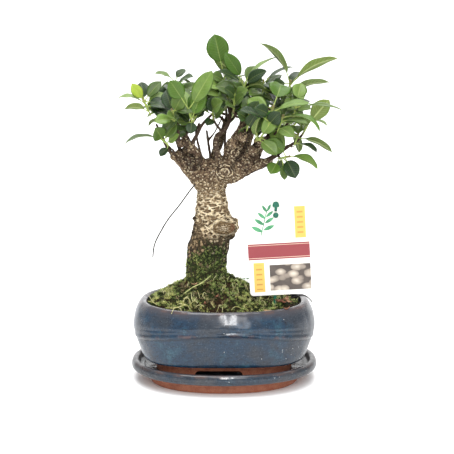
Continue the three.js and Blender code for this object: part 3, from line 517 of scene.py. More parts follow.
def cut_wood(finish, x, z, cut):
    """Colour of the wood in the big old cut, with its pale rays, and the rings on it."""
    turn = finish.math("ARCTAN2", (z - CUT_LIP["z"]) * 1.8, x - CUT_LIP["x"])
    round_it = finish.node("ShaderNodeCombineXYZ", None, {0: turn * 5, 1: cut * 4}).outputs[0]
    rays = finish.noise(round_it, 1.6, 3, 0.7)
    rings = (cut * 24 + rays * 4).sine()
    wood = finish.layers(
        "#3f3223",
        (rays.step(0.36, 0.6), "#857052"),
        (x.step(4, 10) * 0.5, "#74503f"),
        (rays.step(0.52, 0.6) * cut.step(0.75, 0.3) * x.step(9, 3), "#efe2c6"),
        (rings.step(0.1, 0.9) * 0.5, "#2c2118"),
    )
    return wood, rings


def bark_finish(bark):
    """Brown bark: pale broken ridges on the trunk, lenticels on the limbs, dark thin twigs."""
    finish = Finish("bark", Roughness=0.85, Specular_IOR_Level=0.15)
    place = finish.object_place()
    x, _, z = finish.xyz(place)
    broad = finish.noise(place, 12, 4, 0.6)
    fine = finish.noise(place, 1.5, 4, 0.75)
    grain = finish.noise(finish.object_place((1, 1, 0.6)), 3, 4, 0.65)
    cracks = finish.noise(finish.shifted(place, 6, 4), 4.2, 3, 0.6)
    thick, scar, cut, damp = (finish.attribute(name) for name in ("thick", "scar", "cut", "moss"))
    ridge = finish.attribute("ridge").step(0.55, 0.85)
    # bands up the tree, whose borders wander up and down
    wandering = z + (broad - 0.5) * 36
    limbs = z.step(212, 236)
    low = wandering.step(178, 156)
    on_trunk = wandering.step(154, 172) * wandering.step(218, 198)

    # raised pale ridges that lie across the trunk
    lying = finish.shifted(finish.object_place((0.45, 0.45, 1.15)), 7, 6)
    ridges = finish.cells(lying, 3.9, "DISTANCE_TO_EDGE") + (fine - 0.5) * 0.16
    whole = finish.noise(finish.shifted(place, 8, 5), 8, 2).step(0.42, 0.52)
    pale = ridges.step(0.17, 0.08) * whole * on_trunk
    # painted shadow: a dark line beside each pale ridge
    shaded = ridges.step(0.15, 0.22) * ridges.step(0.4, 0.28) * on_trunk
    # rows of small pale warts
    rows = finish.shifted(finish.object_place((0.8, 0.8, 1.1)), 3, 1.6)
    warts = finish.cells(rows, 2.3).step(0.42, 0.24) * finish.noise(place, 4, 3).step(0.38, 0.5)
    warts = warts * z.step(150, 190) * thick.step(0.0, 0.25)
    smooth = z.step(178, 190) * z.step(214, 202) * abs(x + 9).step(20, 12)
    pale = pale.most(warts * (1 - limbs * 0.3) * (1 - smooth * 0.85))
    pale = pale.most(ridge * scar * cracks.step(0.45, 0.53))
    # knobbly lumps between the cut and the moss
    lumps = finish.cells(finish.shifted(place, 5, 3), 4.4).step(0.45, 0.3)
    pale = pale.most(lumps * low * cracks.step(0.38, 0.48) * 0.55)

    # the big old cut: a disc of bare wood within a pale lip
    cut_edge = cut + (fine - 0.5) * 0.16
    disc = cut_edge.step(0.98, 0.86)
    wood, rings = cut_wood(finish, x, z, cut)
    lip = abs(cut_edge - 1.06).step(0.15, 0.06) * (1 - x.step(7, 12) * 0.9)
    pale = (pale * (1 - disc)).most(lip * grain.step(0.4, 0.52))
    tan = finish.layers(
        bark.pale,
        (fine.step(0.42, 0.56), "#c2ad87"),
        (low * x.step(-8, -24) * 0.7, "#ac8a60"),
    )
    green = finish.mix(fine.step(0.4, 0.62), "#0d1009", "#354420")
    finish.set("Base Color", finish.layers(
        "#5d4c3a",
        (broad.step(0.38, 0.62), bark.bark),
        (limbs * 0.6, "#5a483d"),
        (grain.step(0.48, 0.64) * 0.6, "#ab9777"),
        (on_trunk * 0.5, "#8f795b"),
        (fine.step(0.52, 0.38) * (0.92 - on_trunk * 0.3), "#1c140f"),
        (cracks.step(0.47, 0.4) * (0.35 + limbs * 0.4).most(low * 0.9), "#1c1410"),
        # painted shadow beside the pale ridges
        (shaded * 0.7, "#33261b"),
        (thick.step(0.5, 0.1), bark.twig),
        (scar * 0.5 * (1 - ridge), "#3d3026"),
        (disc, wood),
        (abs(cut_edge - 1.28).step(0.16, 0.04) * cut.step(2, 1.5) * 0.7, "#2c2118"),
        (abs(cut_edge - 0.92).step(0.07, 0.02) * 0.7, "#241a13"),
        # painted shadow: the low trunk under the big cut darkened
        (low * grain.step(0.3, 0.5) * (1 - disc) * 0.88, "#262015"),
        (pale, tan),
        # the dark knobs, and painted shade in the hollows between the limbs
        (finish.attribute("dark") * 0.85, "#1d1512"),
        (damp.step(0.15, 0.6) * 0.92, green),
    ))
    relief = grain * 0.4 + fine * 0.45 + pale * 0.5 + disc * rings * 0.15
    finish.bump(relief + damp * fine * 0.4, 1.4)
    return finish.material


def root_finish():
    """Smooth grey-brown skin of the aerial root."""
    finish = Finish("aerial_root", Roughness=0.7)
    spots = finish.noise(finish.object_place(), 5, 3)
    finish.set("Base Color", finish.ramp(spots, [(0.3, "#1b1817"), (0.7, "#3f3935")]))
    finish.bump(spots, 0.1)
    return finish.material


def blade_places(finish):
    """Distance from the midrib, 0 to 1, and the way along the blade, 0 to 1."""
    across, along, _ = finish.xyz(finish.node("ShaderNodeUVMap", {"uv_map": "blade"}).outputs[0])
    return abs(across - 0.5) * 2, along


def vein_mask(off, along):
    """Side veins that run from the midrib up to the edge."""
    wave = ((along - off * 0.2) * 62.8).sine()
    return wave.step(0.72, 0.98) * off.step(0.98, 0.5)


def leaf_upper_finish(leaf):
    """Glossy green upper side with a pale midrib."""
    finish = Finish("leaf_upper", IOR=1.45, Specular_IOR_Level=0.38, **LEAF_GLOW)
    off, along = blade_places(finish)
    tint, bright = finish.attribute("tint"), finish.attribute("bright")
    veins = vein_mask(off, along)
    patches = finish.noise(finish.object_place(), 9, 3)
    lively = finish.ramp(bright, [(0.5, "#466a0c"), (0.9, "#9aae38")])
    rib = off.step(0.075, 0.025) * (1.0 - along * 0.7)
    finish.set("Base Color", finish.layers(
        leaf.upper,
        (tint.step(0.3, 1.0), "#6e873f"),
        (tint.step(0.5, 0.1), "#1c3018"),
        (patches.step(0.35, 0.7) * 0.3, "#2a3f18"),
        ((bright * 1.6).least(1), lively),
        (veins * 0.1, "#7f9a5c"),
        # painted shade: a dark rim round each leaf
        (off.step(0.84, 1.0) * 0.55, "#2b4318"),
        (rib * (0.2 + tint * 0.45), leaf.stalk),
    ))
    finish.set("Roughness", 0.26 + patches * 0.2)
    finish.bump(veins * -0.35 - rib * 0.6 + patches * 0.3, 0.25)
    return finish.material


def leaf_under_finish(leaf):
    """Matt, paler underside with a raised midrib."""
    finish = Finish("leaf_under", Roughness=0.55, IOR=1.4, Specular_IOR_Level=0.25, **LEAF_GLOW)
    off, along = blade_places(finish)
    veins = vein_mask(off, along)
    patches = finish.noise(finish.object_place(), 7, 3)
    rib = off.step(0.13, 0.05) * (1.1 - along * 0.6)
    finish.set("Base Color", finish.layers(
        leaf.under,
        (finish.attribute("tint"), "#748550"),
        (patches.step(0.4, 0.75) * 0.4, "#465a31"),
        (finish.attribute("bright") * 0.8, "#8c9c46"),
        (veins * 0.3, "#a3b27a"),
        (rib * 0.8, "#bcc884"),
    ))
    finish.bump(veins * 0.5 + rib * 0.6 + patches * 0.3, 0.3)
    return finish.material


def stalk_finish(leaf):
    """Young green stems and stalks, browner near the wood."""
    finish = Finish("stalk", Roughness=0.5, Specular_IOR_Level=0.25)
    spots = finish.noise(finish.object_place(), 4, 3)
    finish.set("Base Color", finish.layers(
        leaf.stalk,
        (spots.step(0.35, 0.7), "#7f9a48"),
        (finish.attribute("old"), "#6a5540"),
    ))
    finish.bump(spots, 0.2)
    return finish.material


def moss_finish(name, deep, light, tips):
    """Moss needles: each tuft has its own shade, and its needles pale to their tips."""
    finish = Finish(name, Roughness=0.8, Specular_IOR_Level=0.1)
    tuft, tip = finish.attribute("tuft"), finish.attribute("tip")
    place = finish.object_place()
    patches = finish.noise(place, 7, 3, 0.6)
    finish.set("Base Color", finish.layers(
        deep,
        ((tuft * 0.5 + patches * 1.9 - 0.7).step(0.3, 0.7), light),
        (tip * (tuft * 0.6 + patches * 0.8).step(0.4, 0.95), tips),
    ))
    finish.bump(finish.noise(place, 1.2, 2), 0.15)
    return finish.material


def ground_finish():
    """Dark earth and old moss between the tufts."""
    finish = Finish("moss_ground", Roughness=0.95, Specular_IOR_Level=0.1)
    place = finish.object_place()
    lumps = finish.noise(place, 5, 4, 0.65)
    grit = finish.noise(place, 1.4, 3, 0.7)
    patches = finish.noise(place, 22, 3)
    grains = grit.step(0.42, 0.68)
    earth = finish.mix(grains, "#0d0906", "#4a3523")
    green = finish.mix(grains, "#0f140a", "#3a4420")
    bare = (patches * 0.7 + lumps * 0.3).step(0.45, 0.6)
    finish.set("Base Color", finish.mix(bare, green, earth))
    finish.bump(lumps * 0.7 + grit * 0.4, 1.6)
    return finish.material


def soil_finish():
    """Moist dark potting soil."""
    finish = Finish("soil", Roughness=0.95, Specular_IOR_Level=0.1)
    place = finish.object_place()
    grains = finish.cells(place, 3.2)
    finish.set("Base Color", finish.mix(grains.step(0.15, 0.5), "#4a3424", "#17100a"))
    finish.bump(finish.noise(place, 1.1, 3, 0.7) * 0.4 - grains * 0.8, 1.2)
    return finish.material


def litter_finish(name, dark, light):
    """A dry or living scrap with blotches of two shades."""
    finish = Finish(name, Roughness=0.8)
    blotch = finish.noise(finish.object_place(), 3, 4, 0.6)
    finish.set("Base Color", finish.mix(blotch.step(0.35, 0.65), dark, light))
    finish.bump(blotch, 0.3)
    return finish.material


def plastic_finish(name, shade, roughness=0.4):
    """Moulded plastic with a faint texture."""
    finish = Finish(name, IOR=1.46)
    place = finish.object_place()
    cloud = finish.noise(place, 6, 3)
    darker = tuple(c * 0.7 for c in shade)
    finish.set("Base Color", finish.mix(cloud.step(0.3, 0.75) * 0.35, shade, darker))
    finish.set("Roughness", roughness + cloud * 0.12)
    finish.bump(finish.noise(place, 0.8, 2), 0.04)
    return finish.material


def print_finish(label):
    """The card's print: a leaf sprig, a plain band, two strips and a row of pebbles."""
    finish = Finish("label_print", IOR=1.48)
    uv = finish.node("ShaderNodeUVMap", {"uv_map": "print"}).outputs[0]
    u, v, _ = finish.xyz(uv)  # mm from the card's lower left corner

    def within(value, low, high):
        return value.step(low - 0.12, low + 0.12) * value.step(high + 0.12, high - 0.12)

    def patch(left, right, low, high):
        return within(u, left, right) * within(v, low, high)

    def leaf_mark(x, y, angle, length):
        """A pointed leaf: what two discs share."""
        c, s = math.cos(math.radians(angle)), math.sin(math.radians(angle))
        along = (u - x) * c + (v - y) * s
        aside = (v - y) * c - (u - x) * s
        radius = length * 0.85
        sunk = math.sqrt(radius ** 2 - (length / 2) ** 2)
        reach = ((along - length / 2) ** 2 + (abs(aside) + sunk) ** 2) ** 0.5
        return reach.step(radius + 0.15, radius - 0.15)

    cloud = finish.noise(finish.object_place(), 14, 3)
    sky = patch(0, 66, 58, 101.5) * v.step(58, 104) * 0.35
    leaves = within(u - (v - 70) * 0.28 - 16, -0.5, 0.5) * within(v, 65, 93)
    for i, (x, y, angle) in enumerate(SPRIG):
        leaves = leaves.most(leaf_mark(x, y, angle, 13.5 - 0.7 * i))
    flat = finish.node("ShaderNodeCombineXYZ", None, {0: u * 0.7, 1: v}).outputs[0]
    pebbles = finish.ramp(finish.cells(finish.shifted(flat, 9, 3), 7.5), [
        (0.0, "#e9e2d6"), (0.22, "#cbbfae"), (0.5, "#9a8d80"), (0.6, "#463d37")])
    pebbles = finish.mix(finish.noise(flat, 12, 2).step(0.35, 0.65) * 0.5, pebbles, "#5f554d")
    rungs = (v * 1.15).sine().step(0.35, 0.75)
    finish.set("Base Color", finish.layers(
        label.card,
        (cloud.step(0.3, 0.8) * 0.25, "#dfe2d8"),
        (sky, "#dfe9d6"),
        (leaves, finish.mix(cloud.step(0.4, 0.6), "#2f7a50", "#4f9a6a")),
        (patch(22, 66, 5, 33), pebbles),
        (patch(0, 66, 39.2, 56.4), label.band),
        (patch(0, 66, 40.7, 41.3).most(patch(0, 66, 54.3, 54.9)), "#d9b9a6"),
        (patch(51, 62.5, 61, 95).most(patch(5, 16.5, 4, 36)), label.strip),
        (patch(53.6, 59.9, 63.5, 92.5).most(patch(7.6, 13.9, 6.5, 33.5)) * rungs * 0.75, "#b07a2c"),
    ))
    finish.set("Roughness", 0.34 + cloud * 0.1)
    finish.set("Coat Weight", 0.15)
    finish.bump(finish.noise(finish.object_place(), 2, 2), 0.03)
    return finish.material


def stage_finish(stage):
    """Pale backdrop with a faint paper texture."""
    finish = Finish("backdrop", Roughness=0.9)
    cloud = finish.noise(finish.object_place(), 160, 2)
    finish.set("Base Color", finish.mix(cloud * 0.3, stage.floor, "#f0f0f1"))
    return finish.material


# ---------------------------------------------------------------- meshes

def new_object(name, data):
    """A new object in the scene."""
    made = bpy.data.objects.new(name, data)
    bpy.context.scene.collection.objects.link(made)
    return made


def add_piece(name, points, faces, materials, face_materials=None, uv=None, values=None):
    """A new smooth mesh object. `uv` is (name, one pair per face corner) and `values` maps an
    attribute's name to one number per point."""
    mesh = bpy.data.meshes.new(name)
    mesh.from_pydata([tuple(p) for p in points], [], faces)
    for material in materials:
        mesh.materials.append(material)
    if face_materials:
        mesh.polygons.foreach_set("material_index", face_materials)
    if uv:
        layer = mesh.uv_layers.new(name=uv[0])
        layer.data.foreach_set("uv", [c for pair in uv[1] for c in pair])
    for attribute, numbers in (values or {}).items():
        mesh.attributes.new(attribute, "FLOAT", "POINT").data.foreach_set("value", numbers)
    mesh.shade_smooth()
    mesh.update()
    return new_object(name, mesh)


def finish_piece(piece, slot, *nodes):
    """Rides the piece on the plant's one body, in the place of CAD nodes, which it hides; `slot` is
    not used.
    """
    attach(piece, "root")
    if nodes:
        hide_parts(*nodes)
    return piece


def settle(piece):
    """Turns a piece's modifiers into plain mesh."""
    evaluated = piece.evaluated_get(bpy.context.evaluated_depsgraph_get())
    mesh = bpy.data.meshes.new_from_object(evaluated)
    piece.modifiers.clear()
    old = piece.data
    mesh.name = old.name
    piece.data = mesh
    bpy.data.meshes.remove(old)
    return piece


def cut(piece, tool, operation="DIFFERENCE"):
    """Cuts a tool from a piece, or joins it on, and removes the tool."""
    modifier = piece.modifiers.new("cut", "BOOLEAN")
    modifier.object = tool
    modifier.operation = operation
    modifier.solver = "EXACT"
    settle(piece)
    bpy.data.objects.remove(tool)


def face_outward(mesh, merge=0.0):
    """Turns a mesh's faces outward, once points nearer than `merge` metres are joined."""
    shape = bmesh.new()
    shape.from_mesh(mesh)
    if merge:
        bmesh.ops.remove_doubles(shape, verts=shape.verts, dist=merge)
    bmesh.ops.recalc_face_normals(shape, faces=shape.faces)
    shape.to_mesh(mesh)
    shape.free()


def merged_copy(node):
    """A bmesh of a CAD node with its loose triangles merged."""
    mesh = bmesh.new()
    mesh.from_mesh(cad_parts[node].data)
    bmesh.ops.remove_doubles(mesh, verts=mesh.verts, dist=0.02 * MM)
    mesh.verts.ensure_lookup_table()
    return mesh


def smooth_profile(marks):
    """Points of a profile whose stretches between None marks are drawn as smooth curves."""
    points = []
    stretch = []
    curved = False
    for mark in [*marks, None]:
        if mark is not None:
            stretch.append(Vector((*mark, 0)))
            continue
        points += spline(stretch, 5) if curved and len(stretch) > 2 else stretch
        stretch = []
        curved = not curved
    return [(p.x, p.y) for p in points]


def spline(points, steps):
    """Catmull-Rom curve through points, with `steps` points to each stretch."""
    made = []
    last = len(points) - 1
    for i in range(last):
        start, end = points[i], points[i + 1]
        leave = start + (end - points[max(i - 1, 0)]) / 6
        arrive = end - (points[min(i + 2, last)] - start) / 6
        made += interpolate_bezier(start, leave, arrive, end, steps + 1)[:-1]
    return [*made, points[-1]]


def oval(profile, squareness, lift=lambda x, y, z: z, wobble=0.0):
    """Points and faces of a turned profile in mm, pressed into an oval."""
    points = []
    rows = []
    for r, z in profile:
        if r == 0:
            rows.append([len(points)])
            points.append(Vector((0, 0, z)) * MM)
            continue
        row = []
        power = squareness(z)
        for i in range(WARE_SEGMENTS):
            angle = 2 * math.pi * i / WARE_SEGMENTS
            c, s = math.cos(angle), math.sin(angle)
            reach = r * (abs(c) ** power + abs(s) ** power) ** (-1 / power)
            x, y = reach * c, reach * s * DEPTH_RATIO
            push = 1 + wobble * roughly((x, y, z), 30, 2) / r
            row.append(len(points))
            points.append(Vector((x * push, y * push, lift(x, y, z))) * MM)
        rows.append(row)
    return points, lofted_faces(rows)


def lofted_faces(rows):
    """Faces between rows of point numbers that run anticlockwise seen from the last row's side."""
    faces = []
    for low, high in zip(rows, rows[1:]):
        count = max(len(low), len(high))
        for i in range(count):
            j = (i + 1) % count
            if len(low) == 1:
                faces.append((low[0], high[j], high[i]))
            elif len(high) == 1:
                faces.append((low[i], low[j], high[0]))
            else:
                faces.append((low[i], low[j], high[j], high[i]))
    return faces


class Shape:
    """Gathers lofts into one mesh, with their materials, UV places and attributes."""

    def __init__(self, *attributes):
        self.points = []
        self.faces = []
        self.slots = []
        self.uv = []
        self.values = {name: [] for name in attributes}

    def loft(self, rings, slot, uv=None, **values):
        """Closed loft through rings. `slot` and `uv` are values or functions of row and column."""
        start = len(self.points)
        sides = len(rings[0])
        for row, ring in enumerate(rings):
            self.points += ring
            for name, store in self.values.items():
                value = values.get(name, 0.0)
                store += [value(row) if callable(value) else value] * sides
        place = uv or (lambda row, column: (0.5, 0.0))
        for row in range(len(rings) - 1):
            low = start + row * sides
            for i in range(sides):
                j = (i + 1) % sides
                self.faces.append((low + i, low + j, low + sides + j, low + sides + i))
                self.slots.append(slot(i) if callable(slot) else slot)
                self.uv += [place(row, i), place(row, i + 1),
                            place(row + 1, i + 1), place(row + 1, i)]
        for row, order in ((0, -1), (len(rings) - 1, 1)):
            low = start + row * sides
            self.faces.append(tuple(range(low, low + sides))[::order])
            self.slots.append(slot(0) if callable(slot) else slot)
            self.uv += [place(row, i) for i in range(sides)][::order]

    def tube(self, path, radii, sides, slot, **values):
        """A round tube along points, with a radius at each."""
        self.loft(rings_along(path, radii, sides), slot, **values)

    def piece(self, name, materials, uv_name=None):
        return add_piece(name, self.points, self.faces, materials, self.slots,
                         (uv_name, self.uv) if uv_name else None, self.values)


def rings_along(path, radii, sides):
    """Rings square to a path, without twist."""
    last = len(path) - 1
    ways = [(path[min(i + 1, last)] - path[max(i - 1, 0)]).normalized() for i in range(last + 1)]
    turns = [2 * math.pi * k / sides for k in range(sides)]
    across = Vector((0, -1, 0)).cross(ways[0])
    if across.length < 0.1:
        across = Vector((1, 0, 0))
    across.normalize()
    rings = []
    for i, (point, way) in enumerate(zip(path, ways)):
        if i > 0:
            across = ways[i - 1].rotation_difference(way) @ across
        over = way.cross(across)
        rings.append([point + radii[i] * (across * math.cos(turn) + over * math.sin(turn))
                      for turn in turns])
    return rings


def nearest_on_line(point, a, b):
    """The place nearest to a point on the straight line between two others."""
    share = (point - a).dot(b - a) / (b - a).length_squared
    return a + (b - a) * min(max(share, 0), 1)


# ---------------------------------------------------------------- saucer and pot

def pot_squareness(z):
    """How square the pot's plan is at a height."""
    low, high = POT_ROUNDING
    return lerp(*POT_SQUARENESS, min(max((z - low) / (high - low), 0), 1))


def bowed_height(x, y, z):
    """Height of a place on the pot, raised about the groove at the long sides."""
    rising = smoothstep(z, GROOVE["lowest"], GROOVE["height"])
    falling = 1 - smoothstep(z, GROOVE["height"], GROOVE["highest"])
    deep = (y / DEPTH_RATIO) ** 2
    return z + GROOVE["rise"] * rising * falling * deep / (x * x + deep + 1e-9)


def build_saucer(ware):
    points, faces = oval(smooth_profile(SAUCER_PROFILE), lambda z: SAUCER_SQUARENESS,
                         wobble=WARE_WOBBLE * 0.6)
    shades = (ware.saucer, ware.saucer_light, "#3b3d42")
    glaze = glaze_finish("saucer_glaze", shades, ware.clay, border=10.9, rim=24, worn_edge=3)
    piece = add_piece("saucer_glazed", points, faces, [glaze])
    piece.data.set_sharp_from_angle(angle=math.radians(SHARP_EDGE))
    return finish_piece(piece, "glaze", "saucer")


def arch_bar(arch, turn):
    """A bar with an arched section that runs right under the pot."""
    low = FOOT_PROFILE[2][1] - 2
    left, right, top = arch["from"], arch["to"], arch["top"]
    outline = [(left, low), (right, low)]
    # how far the round corner stays off each side, from its start to its end
    corner = [(ARCH_CORNER * (1 - math.cos(math.radians(a))),
               ARCH_CORNER * (1 - math.sin(math.radians(a)))) for a in range(0, 91, 15)]
    outline += [(right - aside, top - below) for aside, below in corner]
    outline += [(left + aside, top - below) for below, aside in corner]
    spin = Matrix.Rotation(math.radians(turn), 3, "Z")
    shape = Shape()
    shape.loft([[spin @ Vector((x, y, z)) * MM for x, z in outline] for y in (120, -120)], 0)
    return shape.piece("arch_bar", [])


def build_pot(ware):
    points, faces = oval(smooth_profile(POT_PROFILE), pot_squareness, bowed_height, WARE_WOBBLE)
    shades = (ware.glaze, ware.glaze_light, ware.glaze_grey)
    glaze = glaze_finish("pot_glaze", shades, ware.clay, border=28.9, rim=90, worn_edge=10,
                         groove=GROOVE)
    piece = add_piece("pot_glazed", points, faces, [glaze])
    points, faces = oval([*FOOT_PROFILE, FOOT_PROFILE[0]], pot_squareness)
    feet = add_piece("feet", points, faces, [])
    face_outward(feet.data, merge=0.01 * MM)
    cut(feet, arch_bar(LONG_ARCH, 0))
    cut(feet, arch_bar(SHORT_ARCH, 90))
    cut(piece, feet, "UNION")
    for x in DRAIN_HOLES:
        drill = Shape()
        drill.tube([Vector((x, 0, z)) * MM for z in (20, 36)], [DRAIN_RADIUS * MM] * 2, 40, 0)
        cut(piece, drill.piece("drill", []))
    piece.data.shade_smooth()
    piece.data.set_sharp_from_angle(angle=math.radians(SHARP_EDGE))
    return finish_piece(piece, "glaze", "pot")


# ---------------------------------------------------------------- moss and soil

def mound_height(x, y):
    """Height of the soil's mound, without its moss."""
    distance = math.hypot(x - MOUND["x"], y / MOUND["depth"]) / MOUND["reach"]
    aside = math.hypot(x - SWELL["x"], y - SWELL["y"]) / SWELL["reach"]
    return (MOUND["edge"] + MOUND["height"] * max(1 - distance ** MOUND["steepness"], -0.04)
            + SWELL["height"] * math.exp(-aside * aside))


def moss_lumps(x, y):
    """Height of the moss cushions over the mound."""
    even = 1.1 * math.sin(x / 6.1 + 1.3) * math.cos(y / 5.3) + 0.7 * math.sin((x + y) / 3.7)
    return even * 0.6 + 2.3 * roughly((x, y, 0), 7, 4) + 1.3 * roughly((x, y, 0), 2.8, 5)


def build_moss_ground():
    rings = 72
    under = [(MOSS_HALF_WIDTH * i / rings, 0) for i in range(0, rings + 1, 6)]
    over = [(MOSS_HALF_WIDTH * i / rings, 1) for i in range(rings, -1, -1)]

    def lift(x, y, z):
        if z > 0:
            return mound_height(x, y) + moss_lumps(x, y) - MOSS_SINK
        return mound_height(x, y) - MOSS_THICKNESS

    points, faces = oval([*under, *over], lambda z: POT_SQUARENESS[1], lift)
    covers = {"bright": [], "deep": [], "dry": [], "strands": []}
    for point in points:
        for name, cover in moss_cover(*(point / MM)).items():
            covers[name].append(cover)
    piece = add_piece("moss_ground", points, faces, [ground_finish()], values=covers)
    return finish_piece(piece, "moss", "moss_mat")


def patch_share(x, y, patches):
    """How deep a place lies in the nearest of some patches, from 0 to 1."""
    return max(math.exp(-((x - px) ** 2 + (y - py) ** 2) / reach ** 2)
               for px, py, reach in patches)


def moss_cover(x, y, z):
    """How thickly each kind of moss stands at a place in mm."""
    distance = math.hypot(x, y / DEPTH_RATIO)
    inside = 1 - smoothstep(distance, *MOSS_EDGE)
    top = smoothstep(z - mound_height(x, y), -3, -2.2)
    # painted shadow: the moss thins to dark ground behind the card's foot
    shaded = 1 - patch_share(x, y, SHADED_PATCHES) * 0.95
    gaps = smoothstep(roughly((x, y, 0), 4.2, 17) + 0.7 * roughly((x, y, 0), 10, 18), -0.2, 0.12)
    brown = patch_share(x, y, BROWN_PATCHES) + 0.5 * roughly((x, y, 0), 12, 6)
    bright = patch_share(x, y, BRIGHT_PATCHES) + 0.55 * roughly((x, y, 0), 9, 7)
    open_ground = inside * top * shaded * (0.03 + 0.97 * gaps)
    sprouts = patch_share(x, y, SPROUT_PATCHES)
    dry = smoothstep(brown, 0.3, 0.75)
    fresh = smoothstep(bright, 0.15, 0.6) * (1 - dry)
    return {
        "bright": open_ground * (0.12 + 0.88 * fresh) * (1 - 0.75 * dry),
        "deep": open_ground * (1 - 0.6 * fresh) * (1 - 0.8 * dry),
        "dry": open_ground * (0.1 + 0.6 * dry),
        "strands": inside * top * shaded * (0.2 + 0.5 * fresh + 2.5 * sprouts ** 2),
    }


def tuft(name, needles, lean, width, seed):
    """A star of three-sided needles, one metre tall before it is scaled."""
    draw = random.Random(seed)
    shape = Shape("tip")
    for i in range(needles):
        turn = 2 * math.pi * (i + draw.random() * 0.6) / needles
        tilt = math.radians(lean) * (0.25 + 0.75 * draw.random())
        away = Vector((math.cos(turn), math.sin(turn), 0))
        way = away * math.sin(tilt) + Vector((0, 0, math.cos(tilt)))
        length = 0.65 + 0.35 * draw.random()
        foot = away * width * 0.7 - way * 0.12
        side = way.cross(Vector((0, 0, 1))).normalized()
        front = side.cross(way)
        ring = [foot + width * (side * math.cos(a) + front * math.sin(a))
                for a in (0.0, 2.09, 4.19)]
        start = len(shape.points)
        shape.points += [*ring, way * length]
        shape.values["tip"] += [0.0, 0.0, 0.0, 1.0]
        shape.faces += [(start, start + 1, start + 3), (start + 1, start + 2, start + 3),
                        (start + 2, start, start + 3), (start, start + 2, start + 1)]
        shape.slots += [0] * 4
    return shape.piece(name, [])


def scatter_nodes(name, plant, cover, material):
    """A node tree that plants an object all over a surface, as an attribute allows."""
    tree = bpy.data.node_groups.new(name, "GeometryNodeTree")
    tree.interface.new_socket("Geometry", in_out="INPUT", socket_type="NodeSocketGeometry")
    for socket in ("Density", "Smallest", "Largest", "Lean"):
        tree.interface.new_socket(socket, in_out="INPUT", socket_type="NodeSocketFloat")
    tree.interface.new_socket("Seed", in_out="INPUT", socket_type="NodeSocketInt")
    tree.interface.new_socket("Geometry", in_out="OUTPUT", socket_type="NodeSocketGeometry")

    def node(kind, settings=None, sockets=None):
        made = tree.nodes.new(kind)
        for key, value in (settings or {}).items():
            setattr(made, key, value)
        for key, value in (sockets or {}).items():
            if isinstance(value, bpy.types.NodeSocket):
                tree.links.new(value, made.inputs[key])
            else:
                made.inputs[key].default_value = value
        return made

    given = node("NodeGroupInput").outputs
    allowed = node("GeometryNodeInputNamedAttribute", {"data_type": "FLOAT"}, {"Name": cover})
    thick = node("ShaderNodeMath", {"operation": "MULTIPLY"},
                 {0: given["Density"], 1: allowed.outputs["Attribute"]})
    spread = node("GeometryNodeDistributePointsOnFaces", {"distribute_method": "RANDOM"},
                  {"Mesh": given["Geometry"], "Density": thick.outputs[0], "Seed": given["Seed"]})
    size = node("FunctionNodeRandomValue", {"data_type": "FLOAT"},
                {2: given["Smallest"], 3: given["Largest"], "Seed": given["Seed"]})
    planted = node("GeometryNodeInstanceOnPoints", None, {
        "Points": spread.outputs["Points"],
        "Instance": node("GeometryNodeObjectInfo", None, {"Object": plant}).outputs["Geometry"],
        "Rotation": spread.outputs["Rotation"],
        "Scale": size.outputs[1],
    })
    back = node("ShaderNodeMath", {"operation": "MULTIPLY"}, {0: given["Lean"], 1: -1.0})
    low = node("ShaderNodeCombineXYZ", None, {0: back.outputs[0], 1: back.outputs[0], 2: 0.0})
    high = node("ShaderNodeCombineXYZ", None, {0: given["Lean"], 1: given["Lean"], 2: 2 * math.pi})
    turn = node("FunctionNodeRandomValue", {"data_type": "FLOAT_VECTOR"},
                {0: low.outputs[0], 1: high.outputs[0], "Seed": given["Seed"]})
    turned = node("GeometryNodeRotateInstances", None,
                  {"Instances": planted.outputs[0], "Rotation": turn.outputs[0]})
    shade = node("FunctionNodeRandomValue", {"data_type": "FLOAT"}, {2: 0.0, 3: 1.0, "Seed": 5})
    shaded = node("GeometryNodeStoreNamedAttribute", {"data_type": "FLOAT", "domain": "INSTANCE"},
                  {"Geometry": turned.outputs[0], "Name": "tuft", "Value": shade.outputs[1]})
    real = node("GeometryNodeRealizeInstances", None, {"Geometry": shaded.outputs[0]})
    coloured = node("GeometryNodeSetMaterial", None,
                    {"Geometry": real.outputs[0], "Material": material})
    node("NodeGroupOutput", None, {0: coloured.outputs[0]})
    return tree


def scatter(name, ground, plant, cover, material, density, smallest, largest, lean, seed):
    """A new piece of plants that stand on a ground piece."""
    piece = new_object(name, ground.data.copy())
    tree = scatter_nodes(name, plant, cover, material)
    modifier = piece.modifiers.new("scatter", "NODES")
    modifier.node_group = tree
    inputs = {item.name: item.identifier for item in tree.interface.items_tree
              if item.item_type == "SOCKET" and item.in_out == "INPUT"}
    for key, value in (("Density", density), ("Smallest", smallest), ("Largest", largest),
                       ("Lean", math.radians(lean)), ("Seed", seed)):
        modifier[inputs[key]] = value
    settle(piece)
    piece.data.name = name
    bpy.data.node_groups.remove(tree)
    bpy.data.objects.remove(plant)
    return piece


